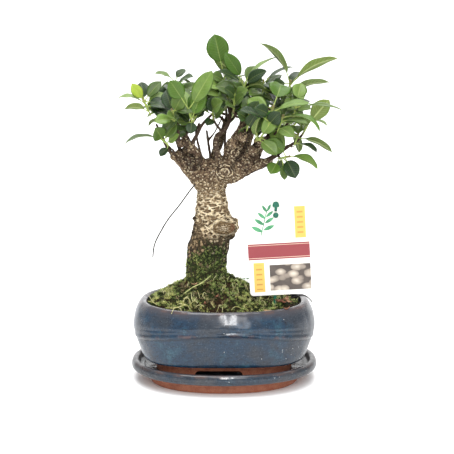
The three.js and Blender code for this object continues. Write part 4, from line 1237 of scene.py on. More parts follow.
def build_moss(moss):
    ground = bpy.data.objects["moss_ground"]
    bark = bpy.data.objects["tree_bark"]
    size = (moss.smallest, moss.largest)
    short = (moss.smallest * 0.7, moss.largest * 0.6)
    bright = moss_finish("moss_bright", "#3d4a1a", "#98a042", "#f2eea6")
    deep = moss_finish("moss_deep", "#10170b", "#5c7538", "#bccb7c")
    dry = moss_finish("moss_dry", "#2c2015", "#846b4b", "#d2c096")
    pale = moss_finish("moss_strands", "#7a7840", "#cfcf92", "#f0edc4")
    # name, ground, cover, finish, share of the density, sizes, then the needles of a tuft, how far
    # they lean and how wide they are
    kinds = [
        ("moss_bright_tufts", ground, "bright", bright, 0.62, size, 11, 62, 0.06),
        ("moss_deep_tufts", ground, "deep", deep, 0.8, size, 10, 66, 0.07),
        ("moss_dry_tufts", ground, "dry", dry, 0.8, size, 8, 70, 0.05),
        ("moss_trunk_tufts", bark, "moss", deep, 1.0, short, 9, 60, 0.08),
        ("moss_trunk_bright_tufts", bark, "moss_fresh", bright, 0.7, short, 9, 60, 0.07),
        ("moss_strand_tufts", ground, "strands", pale, 0.07, (5.5 * MM, 10 * MM), 3, 55, 0.028),
    ]
    for i, (name, surface, cover, finish, share, sizes, needles, lean, width) in enumerate(kinds):
        plant = tuft(f"tuft_{i}", needles, lean, width, moss.seed + i)
        piece = scatter(name, surface, plant, cover, finish, moss.density * share, *sizes, 22,
                        moss.seed + 10 * i)
        finish_piece(piece, "moss")


# ---------------------------------------------------------------- the tree's wood

def near_root(point):
    """Whether a point in mm lies on the aerial root, clear of the trunk."""
    marks = [Vector(mark[:3]) for mark in AERIAL_ROOT]
    return point.z <= 214 and any((point - nearest_on_line(point, a, b)).length < 1.5
                                  for a, b in zip(marks, marks[1:]))


def scar_relief(point):
    """Height of the rings round the old scars at a place in mm, how near one is, and the wave."""
    height, nearest, wave = 0.0, 0.0, 0.0
    for scar in SCARS:
        away = (point - Vector(scar["centre"])).length
        away *= 1 + 0.45 * roughly(point, 9, 3) + 0.16 * roughly(point, 3.5, 5)
        near = 1 - smoothstep(away, scar["reach"] * 0.55, scar["reach"])
        if near > nearest:
            nearest = near
            wave = math.cos(2 * math.pi * away / scar["ring"])
            height = near * scar["relief"] * wave
    return height, nearest, wave


def cut_distance(point):
    """0 at the middle of the big cut, 1 on its lip, and more beyond it and behind."""
    away = math.hypot((point.x - CUT_LIP["x"]) / CUT_LIP["half_width"],
                      (point.z - CUT_LIP["z"]) / CUT_LIP["half_height"])
    away *= 1 + 0.14 * roughly(point, 6, 7) + 0.08 * roughly(point, 2.4, 8)
    return away + smoothstep(point.y, -14, -4) * 3


def crevice_depth(point):
    """How deep a place in mm lies in a hollow between two limbs, from 0 to 1."""
    flat = Vector((point.x, point.z))
    depth = 0.0
    for first, last in CREVICES:
        away = (flat - nearest_on_line(flat, Vector(first), Vector(last))).length
        away *= 1 + 0.5 * roughly(point, 6, 31)
        depth = max(depth, 1 - smoothstep(away, 0.6, 3.8))
    return depth * (1 - smoothstep(point.y, -12, 0))


def trunk_moss(point):
    """How thick the moss stands on the trunk at a place in mm, from 0 to 1."""
    edge = 153 - 0.75 * abs(point.x + 17) - 0.3 * point.y
    edge += 14 * roughly(point, 17, 8) + 10 * roughly(point, 5, 3)
    patchy = smoothstep(roughly(point, 4.4, 19) + 0.6 * roughly(point, 9, 20), -0.22, 0.1)
    return (1 - smoothstep(point.z, edge - 9, edge + 4)) * (0.4 + 0.6 * patchy)


def build_tree(bark):
    wood = merged_copy("tree")
    spare = [v for v in wood.verts if near_root(v.co / MM)]
    bmesh.ops.delete(wood, geom=spare, context="VERTS")
    bmesh.ops.holes_fill(wood, edges=wood.edges)
    for centre, radii in CUT_BULGES:
        add_ball(wood, centre, radii)
    for x, y, z, radius in [*DARK_BUMPS, *KNOBS]:
        add_ball(wood, (x, y, z), (radius,) * 3)
    for marks in (SPARE_TWIG, SWOLLEN_LIMB):
        add_tube(wood, marks, 12)
    mesh = bpy.data.meshes.new("tree_bark")
    wood.to_mesh(mesh)
    wood.free()
    piece = new_object("tree_bark", mesh)
    remesh = piece.modifiers.new("remesh", "REMESH")
    remesh.mode = "VOXEL"
    remesh.voxel_size = bark.grain
    relax = piece.modifiers.new("relax", "SMOOTH")
    relax.factor = 0.5
    relax.iterations = 3
    settle(piece)
    piece.data.materials.clear()
    piece.data.materials.append(bark_finish(bark))
    piece.data.materials.append(root_finish())
    carve_bark(piece.data)
    add_aerial_root(piece)
    piece.data.shade_smooth()
    return finish_piece(piece, "bark", "tree")


def add_ball(mesh, centre, radii):
    """Adds a closed ball to a bmesh, for the remesh to join on."""
    place = Matrix.Translation(Vector(centre) * MM) @ Matrix.Diagonal((*(Vector(radii) * MM), 1))
    bmesh.ops.create_uvsphere(mesh, u_segments=32, v_segments=20, radius=1, matrix=place)


def add_tube(mesh, marks, sides, material=0):
    """Adds a closed tube through [X, Y, Z, radius] marks, in mm, to a bmesh."""
    path = spline([Vector(mark[:3]) * MM for mark in marks], 8)
    radii = spline([Vector((mark[3], 0, 0)) * MM for mark in marks], 8)
    rings = [[mesh.verts.new(point) for point in ring]
             for ring in rings_along(path, [r.x for r in radii], sides)]
    for low, high in zip(rings, rings[1:]):
        for i in range(sides):
            j = (i + 1) % sides
            mesh.faces.new((low[i], low[j], high[j], high[i])).material_index = material
    mesh.faces.new(rings[0][::-1]).material_index = material
    mesh.faces.new(rings[-1]).material_index = material


def bark_height(point, thick, relief, scar, cut_away, crevice):
    """How far the bark stands out at a place in mm, from the thickness of its wood, the relief and
    nearness of a scar, the distance from the big cut and the depth of a hollow."""
    level = Vector((point.x * 0.42, point.y * 0.42, point.z * 1.25))
    seams = abs(noise.noise(level / 4.6)) * 2
    cracked = smoothstep(point.z, 145, 165) * (1 - smoothstep(point.z, 212, 235))
    lumps = roughly(point, 13, 1) + 0.8 * roughly(point, 6, 2) + 0.4 * roughly(point, 2.6, 9)
    warts = smoothstep(roughly(point, 3.2, 13), 0.15, 0.6) * (1 - cracked)
    knotty = smoothstep(point.z, 222, 245) * 1.5 * roughly(point, 8, 23)
    waist = math.exp(-((point.z - WAIST["z"]) / WAIST["reach"]) ** 2)
    waist *= smoothstep(point.x, WAIST["x"] - 6, WAIST["x"] + 4)
    height = thick * (lumps * smoothstep(cut_away, 0.6, 1.4) + relief * 1.2 + 0.7 * warts + knotty)
    height += 0.12 * roughly(point, 3, 4) + 0.35 * (1 - thick)
    height -= WAIST["depth"] * waist
    height += thick * cracked * (1 - scar) * 0.5 * (1 - smoothstep(seams, 0.05, 0.4))
    height -= 1.3 * thick * crevice
    lip = (0.55 + 0.5 * roughly(point, 5, 24)) * math.exp(-((cut_away - 1.05) / 0.14) ** 2)
    return height + lip - 1.1 * (1 - smoothstep(cut_away, 0.65, 0.95))


def carve_bark(mesh):
    """Pushes the bark in and out, and notes its thickness, scars and moss at each point."""
    bark = BVHTree.FromPolygons([v.co for v in mesh.vertices], [p.vertices for p in mesh.polygons])
    names = ("thick", "scar", "ridge", "cut", "moss", "moss_fresh", "dark")
    notes = {name: [] for name in names}
    places = []
    for vertex in mesh.vertices:
        point = vertex.co / MM
        inward = -vertex.normal
        width = bark.ray_cast(vertex.co + inward * 0.1 * MM, inward, 0.06)[3]
        thick = smoothstep(width / MM if width else 40.0, 2.5, 16)
        relief, scar, wave = scar_relief(point)
        cut_away = cut_distance(point)
        crevice = crevice_depth(point)
        height = bark_height(point, thick, relief, scar, cut_away, crevice)
        places.extend(vertex.co + vertex.normal * height * MM)
        damp = trunk_moss(point) * smoothstep(cut_away, 1.5, 2.2)
        fresh = damp * smoothstep(roughly(point, 9, 12), -0.1, 0.35)
        fresh *= 1 - 0.8 * smoothstep(point.z, 124, 150)
        dark = max(1 - smoothstep((point - Vector((x, y, z))).length, radius + 0.2, radius + 1.6)
                   for x, y, z, radius in DARK_BUMPS)
        # dark notes the dark knobs, and painted shade in the hollows between limbs
        values = (thick, scar, wave * 0.5 + 0.5, min(cut_away, 4.0), damp, fresh,
                  max(dark, 0.8 * crevice))
        for numbers, value in zip(notes.values(), values):
            numbers.append(value)
    mesh.vertices.foreach_set("co", places)
    for name, numbers in notes.items():
        mesh.attributes.new(name, "FLOAT", "POINT").data.foreach_set("value", numbers)


def add_aerial_root(piece):
    """Adds the thin root that hangs at the left to the tree's mesh."""
    mesh = bmesh.new()
    mesh.from_mesh(piece.data)
    add_tube(mesh, AERIAL_ROOT, 8, material=1)
    mesh.to_mesh(piece.data)
    mesh.free()


# ---------------------------------------------------------------- leafy shoots

def leaf_rings(mesh):
    """The rings of four corners that each solid leaf of a shoot is built on, from tip to stalk."""
    places = [v.co / MM for v in mesh.verts]
    beside = [{e.other_vert(v).index for e in v.link_edges} for v in mesh.verts]
    leaves = []
    used = set()
    for start in range(len(places)):
        if start in used:
            continue
        ring = {start}
        for _ in range(2):
            ring |= {k for j in ring for k in beside[j]
                     if (places[k] - places[start]).length < LEAF_POINT[1]}
        around = set().union(*(beside[j] for j in ring)) - ring
        spread = max((places[a] - places[b]).length for a in ring for b in ring)
        if len(ring) != 4 or len(around) != 4 or not LEAF_POINT[0] < spread < LEAF_POINT[1]:
            continue
        rings = [ring]
        while len(around) == 4:
            rings.append(around)
            used |= around
            around = set().union(*(beside[j] for j in around)) - rings[-2] - rings[-1]
        used |= ring
        leaves.append(rings)
    return leaves, used


def leaf_stations(rings, places):
    """Midrib point, side, upper normal and half-width at each ring, from the stalk to the tip."""
    widest = max(rings, key=lambda ring: max((places[a] - places[b]).length
                                             for a in ring for b in ring))
    # ways to part four corners into those on the rims and those on the midrib
    splits = [((0, 1), (2, 3)), ((0, 2), (1, 3)), ((0, 3), (1, 2))]
    splits += [split[::-1] for split in splits]
    side_hint = None
    made = {}
    for i in sorted(range(len(rings)), key=lambda i: rings[i] is not widest):
        corners = [places[j] for j in rings[i]]

        def fits(split):
            rims, ribs = (corners[a] - corners[b] for a, b in split)
            if side_hint is None:
                return rims.length
            return abs(rims.normalized().dot(side_hint)) - abs(ribs.normalized().dot(side_hint))

        rims, ribs = max(splits, key=fits)
        side = corners[rims[0]] - corners[rims[1]]
        middle = (corners[ribs[0]] + corners[ribs[1]]) / 2
        up = (corners[rims[0]] + corners[rims[1]]) / 2 - middle
        if side_hint is None:
            side_hint = side.normalized()
        half = side.length / 2 / math.cos(math.radians(LEAF["fold"]))
        up = up.normalized() if up.length > 0.05 else None
        made[i] = (middle, side.normalized(), up, half)
    stations = [made[i] for i in range(len(rings))][::-1]
    greatest = max(half for *_, half in stations)
    widest_up = next(up for _, _, up, half in stations if up is not None and half == greatest)
    return [(middle, side, up or widest_up, half) for middle, side, up, half in stations]


def blade_outline(share, fullness=0.62):
    """Half-width of a blade at a share of its length, over its greatest half-width."""
    full = math.sin(math.pi * share ** 0.95) ** fullness if 0 < share < 1 else 0.0
    return full * (1 - 0.35 * smoothstep(share, 0.86, 1))


def twisted(sides, ups):
    """Sides and upper normals of a leaf that twists to turn a side to the front."""
    middle = len(sides) // 2
    shown, hidden = ups[middle].dot(FRONT), sides[middle].dot(FRONT)
    reach = math.hypot(shown, hidden)
    if abs(shown) > LEAST_FACE or reach < LEAST_FACE:
        return sides, ups
    now = math.atan2(hidden, shown)
    aim = math.acos(math.copysign(LEAST_FACE, shown) / reach)
    turn = now - math.copysign(aim, now)
    c, s = math.cos(turn), math.sin(turn)
    return ([side * c - up * s for side, up in zip(sides, ups)],
            [up * c + side * s for side, up in zip(sides, ups)])


def between(share, shares, values):
    """A value at a share of the way along, on a smooth curve through values at some shares."""
    last = len(values) - 1
    i = max(k for k in range(last) if shares[k] <= share)
    before, after = max(i - 1, 0), min(i + 2, last)
    a, b = values[i], values[i + 1]
    span = shares[i + 1] - shares[i]
    step_in = (b - values[before]) * (span / (shares[i + 1] - shares[before]))
    step_out = (values[after] - a) * (span / (shares[after] - shares[i]))
    h = (share - shares[i]) / span
    return (a * (2 * h ** 3 - 3 * h ** 2 + 1) + step_in * (h ** 3 - 2 * h ** 2 + h)
            + b * (3 * h ** 2 - 2 * h ** 3) + step_out * (h ** 3 - h ** 2))


def square_to(ahead, way):
    """A direction, turned square to `ahead`."""
    way = way.normalized()
    return (way - ahead * way.dot(ahead)).normalized()


def add_leaf(shape, stations, stem, settings, draw, twist):
    """Adds the fine leaf that a solid leaf's stations stand for."""
    shares = BLADE_SHARES[len(stations)]
    middles = [s[0] * MM for s in stations]
    half = max(s[3] for s in stations)
    half *= lerp(*LEAF["breadth"], smoothstep(half, 5.5, 9)) * MM
    length = sum((b - a).length for a, b in zip(middles, middles[1:]))
    tint, wave, cup = draw.random(), draw.random() * 6.3, draw.random()
    bright = max([amount for place, amount in BRIGHT_LEAVES
                  if (Vector(place) - middles[-1] / MM).length < 9], default=0.0)
    sides = [s[1] for s in stations]
    sides = [s if s.dot(sides[1]) > 0 else -s for s in sides]
    ups = [s[2] for s in stations]
    if twist:
        sides, ups = twisted(sides, ups)
    fullness = lerp(0.78, 0.6, smoothstep(half / MM, 6.5, 10.5))
    across, rows = settings.across, settings.along
    fold = math.radians(LEAF["crease"])
    rings = []
    for row in range(rows + 1):
        share = row / rows
        middle = between(share, shares, middles)
        ahead = (between(min(share + 0.02, 1), shares, middles)
                 - between(max(share - 0.02, 0), shares, middles)).normalized()
        side = square_to(ahead, between(share, shares, sides))
        up = square_to(ahead, between(share, shares, ups))
        width = max(half * blade_outline(share, fullness), lerp(0.55, 0.12, share) * MM)
        shade = smoothstep(width, 0.5 * MM, 2.5 * MM)

        def surface(a, under):
            """A place on the blade, from -1 at one rim to 1 at the other."""
            spread = math.sqrt(a * a + 0.02) - 0.14
            lift = width * (math.sin(fold) * spread * 1.15 - 0.16 * shade * (0.4 + cup) * a ** 4)
            ripple = math.sin(wave + share * 11 + (2.1 if a > 0 else 0))
            lift += shade * 0.05 * half * ripple * a * a
            thick = lerp(LEAF["rib"], LEAF["edge"], min(abs(a) * 1.6, 1)) * MM / 2
            rib = math.exp(-(a * width / (0.5 * MM)) ** 2) * (1.1 - share)
            rib *= LEAF["stalk"] * 0.75 * MM
            lift += -(thick + rib) if under else thick - 0.12 * rib
            return middle + side * a * width * math.cos(fold) + up * lift

        rings.append([surface(-1 + 2 * k / across, False) for k in range(across + 1)]
                     + [surface(1 - 2 * k / across, True) for k in range(1, across)])
    around = 2 * across
    mirrored = sides[1].cross(ups[1]).dot(middles[-1] - middles[0]) > 0
    if mirrored:
        rings = [[ring[0], *ring[:0:-1]] for ring in rings]

    def place(row, column):
        k = (around - column) % around if mirrored else column
        return (min(k, around - k) / across, row / rows)

    def slot(column):
        return int((column < across) == mirrored)

    shape.loft(rings, slot, place, tint=tint, bright=bright)
    add_stalk(shape, stem, middles, length)


def add_stalk(shape, stem, middles, length):
    """Adds the stalk from the stem to the start of the blade."""
    low, high = stem
    start = middles[0]
    way = (middles[1] - start).normalized()
    reach = STALK_SHARE * length / (1 - STALK_SHARE)
    root = nearest_on_line(start - way * reach, low, high)
    bend = (start - root).length
    leave = (start - root).normalized() * 0.5 + (high - low).normalized() * 0.25
    rows = 8
    path = interpolate_bezier(root, root + leave * bend * 0.5, start - way * bend * 0.35,
                              start + way * MM, rows + 1)
    radii = [lerp(0.72, 0.5, i / rows) * MM for i in range(rows + 1)]
    shape.tube(path, radii, 7, 2, old=lambda row: 0.25 * (1 - row / rows))


def read_shoot(node):
    """The stations of a solid shoot's leaves, and the foot and tip of its stem, all in mm."""
    solid = merged_copy(node)
    leaves, used = leaf_rings(solid)
    places = [v.co / MM for v in solid.verts]
    bud, foot = stem_ends([p for i, p in enumerate(places) if i not in used])
    solid.free()
    return [leaf_stations(rings, places) for rings in leaves], (foot, bud)


def drawn_stations(root, end, face, arch, width):
    """Stations of an arched leaf from a root to an end; its upper side looks along `face`."""
    ahead = (end - root).normalized()
    side = face.cross(ahead).normalized()
    up = ahead.cross(side)
    radius = (end - root).length / (2 * math.sin(arch / 2))
    stations = []
    for share in BLADE_SHARES[5]:
        turn = arch * (STALK_SHARE + (1 - STALK_SHARE) * share - 0.5)
        middle = (root + ahead * radius * (math.sin(arch / 2) + math.sin(turn))
                  + up * radius * (math.cos(turn) - math.cos(arch / 2)))
        half = max(width / 2 * blade_outline(share), 0.5)
        stations.append((middle, side, ahead * math.sin(turn) + up * math.cos(turn), half))
    return stations


def leaf_strip(stations):
    """A leaf as a strip of faces that shows what it would run into."""
    corners = []
    for middle, side, _, half in stations:
        corners += [middle - side * half, middle + side * half]
    faces = [(2 * i, 2 * i + 1, 2 * i + 3, 2 * i + 2) for i in range(len(stations) - 1)]
    return BVHTree.FromPolygons(corners, faces)


def inner_leaves(shoots, taken, count):
    """Leaves that fill the crown's inside, for each shoot, clear of one another and of `taken`."""
    draw = random.Random(11)
    made = {node: [] for node in shoots}
    for node, (_, (foot, bud)) in shoots.items():
        way = (bud - foot).normalized()
        aside = way.cross(Vector((1, 0, 0))).normalized()
        for i in range(count):
            for _ in range(LEAF_TRIES):
                root = foot.lerp(bud, 0.1 + 0.8 * (i + draw.random()) / count)
                turn = draw.random() * 2 * math.pi
                rise = math.radians(draw.uniform(-10, 55))
                out = Quaternion(way, turn) @ aside
                length = draw.uniform(24, 35)
                end = root + (out * math.cos(rise) + way * math.sin(rise)) * length
                if not inside_crown(end):
                    continue
                face = Vector((draw.uniform(-0.3, 0.3), draw.uniform(-1.2, 0.1),
                               draw.uniform(0.3, 1)))
                stations = drawn_stations(root, end, face, math.radians(draw.uniform(25, 55)),
                                          length * draw.uniform(0.4, 0.5))
                strip = leaf_strip(stations[1:])
                if not any(strip.overlap(other) for other in taken):
                    taken.append(strip)
                    made[node].append(stations)
                    break
    return made


def inside_crown(point):
    """Whether a place in mm lies well within the leafy crown."""
    away = Vector(((point.x - CROWN["x"]) / CROWN["width"], (point.y - CROWN["y"]) / CROWN["depth"],
                   (point.z - CROWN["z"]) / CROWN["height"]))
    under = abs(point.x - OPENING["x"]) < OPENING["half_width"] and point.z < OPENING["top"]
    return away.length < 1 and not under


def build_shoot(node, leaves, ends, materials, settings, seed):
    draw = random.Random(seed)
    shape = Shape("tint", "bright", "old")
    stem = (ends[0] * MM, ends[1] * MM)
    twist = not node.startswith("shoot_back")
    for stations in leaves:
        add_leaf(shape, stations, stem, settings, draw, twist)
    add_stem(shape, stem)
    return finish_piece(shape.piece(f"{node}_leaves", materials, "blade"), "leaf", node)


def stem_ends(points):
    """Tip and foot of a shoot's stem, from what is left of its solid without the leaves."""
    tightest = math.inf
    for p in points:
        near = [q for q in points if (q - p).length < 0.75]
        spread = sum((q - p).length for q in near)
        if len(near) == 4 and spread < tightest:
            tightest = spread
            bud = sum(near, Vector()) / 4
    far = sorted(points, key=lambda p: -(p - bud).length)[:4]
    return bud, sum(far, Vector()) / 4


def add_stem(shape, stem):
    """Adds the shoot's stem, with rings where leaves fell, and the pointed bud at its end."""
    low, high = stem
    way = (high - low).normalized()
    low = low - way * 1.2 * MM
    count = 14
    path = [low.lerp(high, i / count) for i in range(count + 1)]
    radii = []
    for i in range(count + 1):
        radius = lerp(1.35, 0.85, i / count) + (0.12 if i % 4 == 1 else 0)
        near_bud = i - count + 2
        radii.append(radius * MM * (1 if near_bud < 0 else 0.9 - 0.3 * near_bud))
    shape.tube(path, radii, 9, 2, old=lambda row: max(0.85 - row / 9, 0.0))
    bud = [(-1.5, 0.75), (0.8, 0.85), (3.4, 0.5), (5.6, 0.08)]  # how far past the end, radius
    shape.tube([high + way * past * MM for past, _ in bud], [r * MM for _, r in bud], 8, 2)


def build_leaves(leaf):
    materials = [leaf_upper_finish(leaf), leaf_under_finish(leaf), stalk_finish(leaf)]
    names = sorted(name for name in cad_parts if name.startswith("shoot_"))
    shoots = {name: read_shoot(name) for name in names}
    taken = [leaf_strip(stations[1:]) for leaves, _ in shoots.values() for stations in leaves]
    extra = inner_leaves(shoots, taken, leaf.extra)
    for seed, (node, (leaves, ends)) in enumerate(shoots.items()):
        build_shoot(node, leaves + extra[node], ends, materials, leaf, seed)


# ---------------------------------------------------------------- label

def rounded_outline(width, height, corner, steps=8):
    """A rectangle with round corners, from its lower middle, anticlockwise, in mm."""
    made = []
    for x, y, start in ((width / 2, 0, -90), (width / 2, height, 0), (-width / 2, height, 90),
                        (-width / 2, 0, 180)):
        cx = x - math.copysign(corner, x)
        cy = corner if y == 0 else height - corner
        for i in range(steps + 1):
            angle = math.radians(start + 90 * i / steps)
            made.append((cx + corner * math.cos(angle), cy + corner * math.sin(angle)))
    return made


def build_label(label):
    outline = rounded_outline(LABEL["width"], LABEL["height"], LABEL["corner"])
    half = LABEL["thickness"] / 2
    lean = Matrix.Rotation(math.radians(-LABEL["lean"]), 3, "Y")
    foot = Vector((LABEL["x"], LABEL["y"], LABEL["bottom"]))
    centre = LABEL["height"] / 2
    bevel = 0.18

    def ring(depth, inset):
        made = []
        for x, z in outline:
            x -= math.copysign(inset, x)
            z -= math.copysign(inset, z - centre)
            made.append((foot + lean @ Vector((x, depth, z))) * MM)
        return made

    shape = Shape()
    shape.loft([ring(half, bevel), ring(half - bevel, 0), ring(bevel - half, 0),
                ring(-half, bevel)], 0)
    piece = shape.piece("label_card",
                        [print_finish(label), plastic_finish("label_back", label.card)])
    for height in (PICK["button"], PICK["hook"]):
        drill = Shape()
        drill.tube([Vector((PICK["x"], LABEL["y"] + d, height)) * MM for d in (-4, 4)],
                   [(PICK["radius"] + GAP) * MM] * 2, 24, 0)
        cut(piece, drill.piece("drill", []))
    mesh = piece.data
    face_outward(mesh)
    layer = mesh.uv_layers.new(name="print")
    back = lean.inverted()
    for polygon in mesh.polygons:
        polygon.material_index = 0 if polygon.normal.y < -0.5 else 1
        for loop in polygon.loop_indices:
            flat = back @ (mesh.vertices[mesh.loops[loop].vertex_index].co / MM - foot)
            layer.data[loop].uv = (flat.x + LABEL["width"] / 2, flat.z)
    mesh.set_sharp_from_angle(angle=math.radians(30))
    return finish_piece(piece, "label_card", "plant_label")


def build_pick(label):
    """The pick: a pointed round stem, a domed button and a flat hook with a neck."""
    front = LABEL["y"] - LABEL["thickness"] / 2 - GAP
    back = LABEL["y"] + LABEL["thickness"] / 2 + GAP + PICK["radius"]
    x, r = PICK["x"], PICK["radius"]
    shape = Shape()
    stem = [(PICK["point"], 0.15), (PICK["point"] + PICK["tip"], r), (PICK["hook"] + r - 0.5, r),
            (PICK["hook"] + r, r - 0.4)]
    shape.tube([Vector((x, back, z)) * MM for z, _ in stem], [w * MM for _, w in stem], 20, 0)
    for z, thin in ((PICK["button"], 1), (PICK["hook"], 0.55)):
        path = [Vector((x, y, z)) * MM for y in (front - 0.5, back)]
        shape.tube(path, [r * thin * MM] * 2, 20, 0)
    dome = [(0, 2.6), (0.35, 2.9), (1.2, 2.95), (1.9, 2.6), (2.4, 1.9), (2.7, 0.6)]
    path = [Vector((x, front - d, PICK["button"])) * MM for d, _ in dome]
    shape.tube(path, [w * MM for _, w in dome], 28, 0)
    half = [(1.5, 0.4), (1.6, 3.2), (3.4, 3.6), (3.3, 6.4), (1.6, 8.9)]
    hook = [*half, (0, 9.1), *((-u, v) for u, v in half[::-1])]
    outline = spline([Vector((u, v, 0)) for u, v in hook], 3)
    rings = []
    for depth, size in ((2.2, 0.92), (1.9, 1.0), (0.3, 1.0), (0, 0.94)):
        rings.append([Vector((x + p.x * size, front - depth, PICK["hook"] + p.y)) * MM
                      for p in outline[::-1]])
    shape.loft(rings, 0)
    piece = shape.piece("pick", [plastic_finish("pick", label.pick, 0.35)])
    face_outward(piece.data)
    piece.data.set_sharp_from_angle(angle=math.radians(40))
    return finish_piece(piece, "label_pick", "label_pick")


# ---------------------------------------------------------------- litter on the moss

def on_moss(x, y, above=0.0):
    """A place in metres on the moss, or some mm above it."""
    return Vector((x, y, mound_height(x, y) + moss_lumps(x, y) + above)) * MM


def thinning(path, thick, thin):
    """Radii in metres along a path that thins from one radius in mm towards another."""
    return [lerp(thick, thin, i / len(path)) * MM for i in range(len(path))]


def scrap(shape, x, y, length, turn, curl, slot):
    """A thin curled scrap of leaf that lies on the moss."""
    spin = Matrix.Rotation(math.radians(turn), 3, "Z")
    rows, columns = 6, 4
    rings = []
    for row in range(rows + 1):
        share = row / rows
        width = max(length * 0.24 * math.sin(math.pi * (0.06 + 0.88 * share)), 0.3)
        along = length * (share - 0.5)
        rise = curl * 2.2 * (2 * share - 1) ** 2 + 1.6

        def point(a, side):
            lift = rise + curl * 0.5 * a * a * width + side * 0.14
            flat = spin @ Vector((along, a * width, 0))
            return on_moss(x, y) + Vector((flat.x, flat.y, lift)) * MM

        top = [point(-1 + 2 * k / columns, 1) for k in range(columns + 1)]
        bottom = [point(1 - 2 * k / columns, -1) for k in range(columns + 1)]
        rings.append((top + bottom)[::-1])
    shape.loft(rings, slot)


def build_straws(draw):
    straws = Shape()
    for stem in STRAWS:
        path = spline([on_moss(*mark) for mark in stem], 5)
        straws.tube(path, thinning(path, 0.5, 0.2), 6, 0)
    for _ in range(LOOSE_STRAWS):
        angle, away = draw.random() * 6.28, math.sqrt(draw.random()) * 74
        x, y = away * math.cos(angle), away * math.sin(angle) * DEPTH_RATIO
        turn, reach = draw.random() * 6.28, 3 + 5 * draw.random()
        way = Vector((math.cos(turn), math.sin(turn), 0)) * reach * MM
        bend = on_moss(x, y, 2.5 + 3 * draw.random()) + way * 0.5
        end = on_moss(x, y, 1.5 + 5 * draw.random()) + way
        path = spline([on_moss(x, y, -1), bend, end], 4)
        straws.tube(path, thinning(path, 0.3, 0.12), 5, 0)
    finish_piece(straws.piece("straws", [litter_finish("straw", "#a9a45a", "#e3dfae")]), "moss")


def build_twigs():
    twigs = Shape()
    path = spline([on_moss(*mark) for mark in PALE_STEM], 6)
    twigs.tube(path, [0.55 * MM] * len(path), 7, 0)
    path = spline([Vector(mark) * MM for mark in DARK_TWIG], 6)
    twigs.tube(path, thinning(path, 0.9, 0.6), 7, 1)
    finish_piece(twigs.piece("fallen_twigs", [
        litter_finish("pale_stem", "#8f9a5a", "#c9c98a"),
        litter_finish("dark_twig", "#14100f", "#2c2422"),
    ]), "bark")


def build_dead_leaves():
    dead = Shape()
    for i, leaf in enumerate(DEAD_LEAVES):
        scrap(dead, *leaf, i % 2)
    finish_piece(dead.piece("dead_leaves", [
        litter_finish("dead_leaf", "#4c2c20", "#8f5f44"),
        litter_finish("dry_leaf", "#7c5a42", "#c09a78"),
    ]), "leaf")


def build_weeds(draw):
    """Tiny weeds with a ring of five leaves."""
    weeds = Shape()
    up = Vector((0, 0, 0.12 * MM))
    for x, y in WEEDS:
        foot = on_moss(x, y, -1)
        top = on_moss(x, y, 7 + 3 * draw.random())
        weeds.tube([foot, foot.lerp(top, 0.5), top], [0.35 * MM, 0.3 * MM, 0.25 * MM], 6, 0)
        for k in range(5):
            turn = 2.4 * k + x
            way = Vector((math.cos(turn), math.sin(turn), 0.35)) * 3.2 * MM
            side = Vector((-math.sin(turn), math.cos(turn), 0)) * 0.9 * MM
            rings = []
            for middle, width in ((top, 0.2), (top + way * 0.5, 1), (top + way, 0.15)):
                left, right = middle - side * width, middle + side * width
                rings.append([left - up, right - up, right + up, left + up])
            weeds.loft(rings, 1)
    piece = weeds.piece("weeds", [litter_finish("weed_stem", "#5c5a3a", "#7f8a4a"),
                                  litter_finish("weed_leaf", "#3c5a3c", "#6f8f5e")])
    face_outward(piece.data)
    finish_piece(piece, "moss")


def build_litter():
    draw = random.Random(4)
    build_straws(draw)
    build_twigs()
    build_dead_leaves()
    build_weeds(draw)


# ---------------------------------------------------------------- carried-over CAD nodes

def dress_hidden_nodes():
    """The soil and the drain nets keep their CAD shape and get their finish."""
    soil = soil_finish()
    net = plastic_finish("drain_net", colour("#202224"), 0.6)
    for name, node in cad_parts.items():
        if name == "soil" or name.startswith("drain_mesh"):
            node.data.materials.clear()
            node.data.materials.append(soil if name == "soil" else net)


# ---------------------------------------------------------------- stage

def build_backdrop(stage):
    """A floor that sweeps up into a wall far behind the plant, in metres."""
    width, front, bend, radius, top = 6.0, -3.0, 2.0, 1.2, 4.5
    profile = [(front, 0.0), (bend, 0.0)]
    for turn in range(6, 91, 6):
        angle = math.radians(turn)
        profile.append((bend + radius * math.sin(angle), radius * (1 - math.cos(angle))))
    profile.append((bend + radius, top))
    points = [Vector((x, y, z)) for y, z in profile for x in (-width, width)]
    faces = [(2 * i, 2 * i + 1, 2 * i + 3, 2 * i + 2) for i in range(len(profile) - 1)]
    add_piece("backdrop", points, faces, [stage_finish(stage)])


def add_light(name, place, aim, size, power):
    """A rectangular light that looks from a place to another, in metres."""
    light = bpy.data.lights.new(name, "AREA")
    light.shape = "RECTANGLE"
    light.size, light.size_y = size
    light.energy = power
    lamp = new_object(name, light)
    lamp.location = place
    lamp.rotation_euler = (Vector(aim) - Vector(place)).to_track_quat("-Z", "Y").to_euler()


def build_lights(stage):
    world = bpy.data.worlds.new("studio")
    world.use_nodes = True
    background = world.node_tree.nodes["Background"]
    background.inputs["Color"].default_value = (1, 1, 1, 1)
    background.inputs["Strength"].default_value = 0.7
    bpy.context.scene.world = world
    add_light("key", (0.1, -1.6, 1.25), (0, 0, 0.07), (0.1, 1.3), stage.key * 0.55)
    add_light("sheen", (0.22, -1.6, 1.0), (0, 0, 0.07), (0.6, 1.1), stage.key * 0.35)
    add_light("top", (-0.2, -0.5, 2.2), (0, 0, 0.2), (1.5, 1.2), stage.top)
    add_light("backdrop", (0, 1.4, 3.2), (0, 3.2, 0.8), (4, 1.5), stage.top * 4)


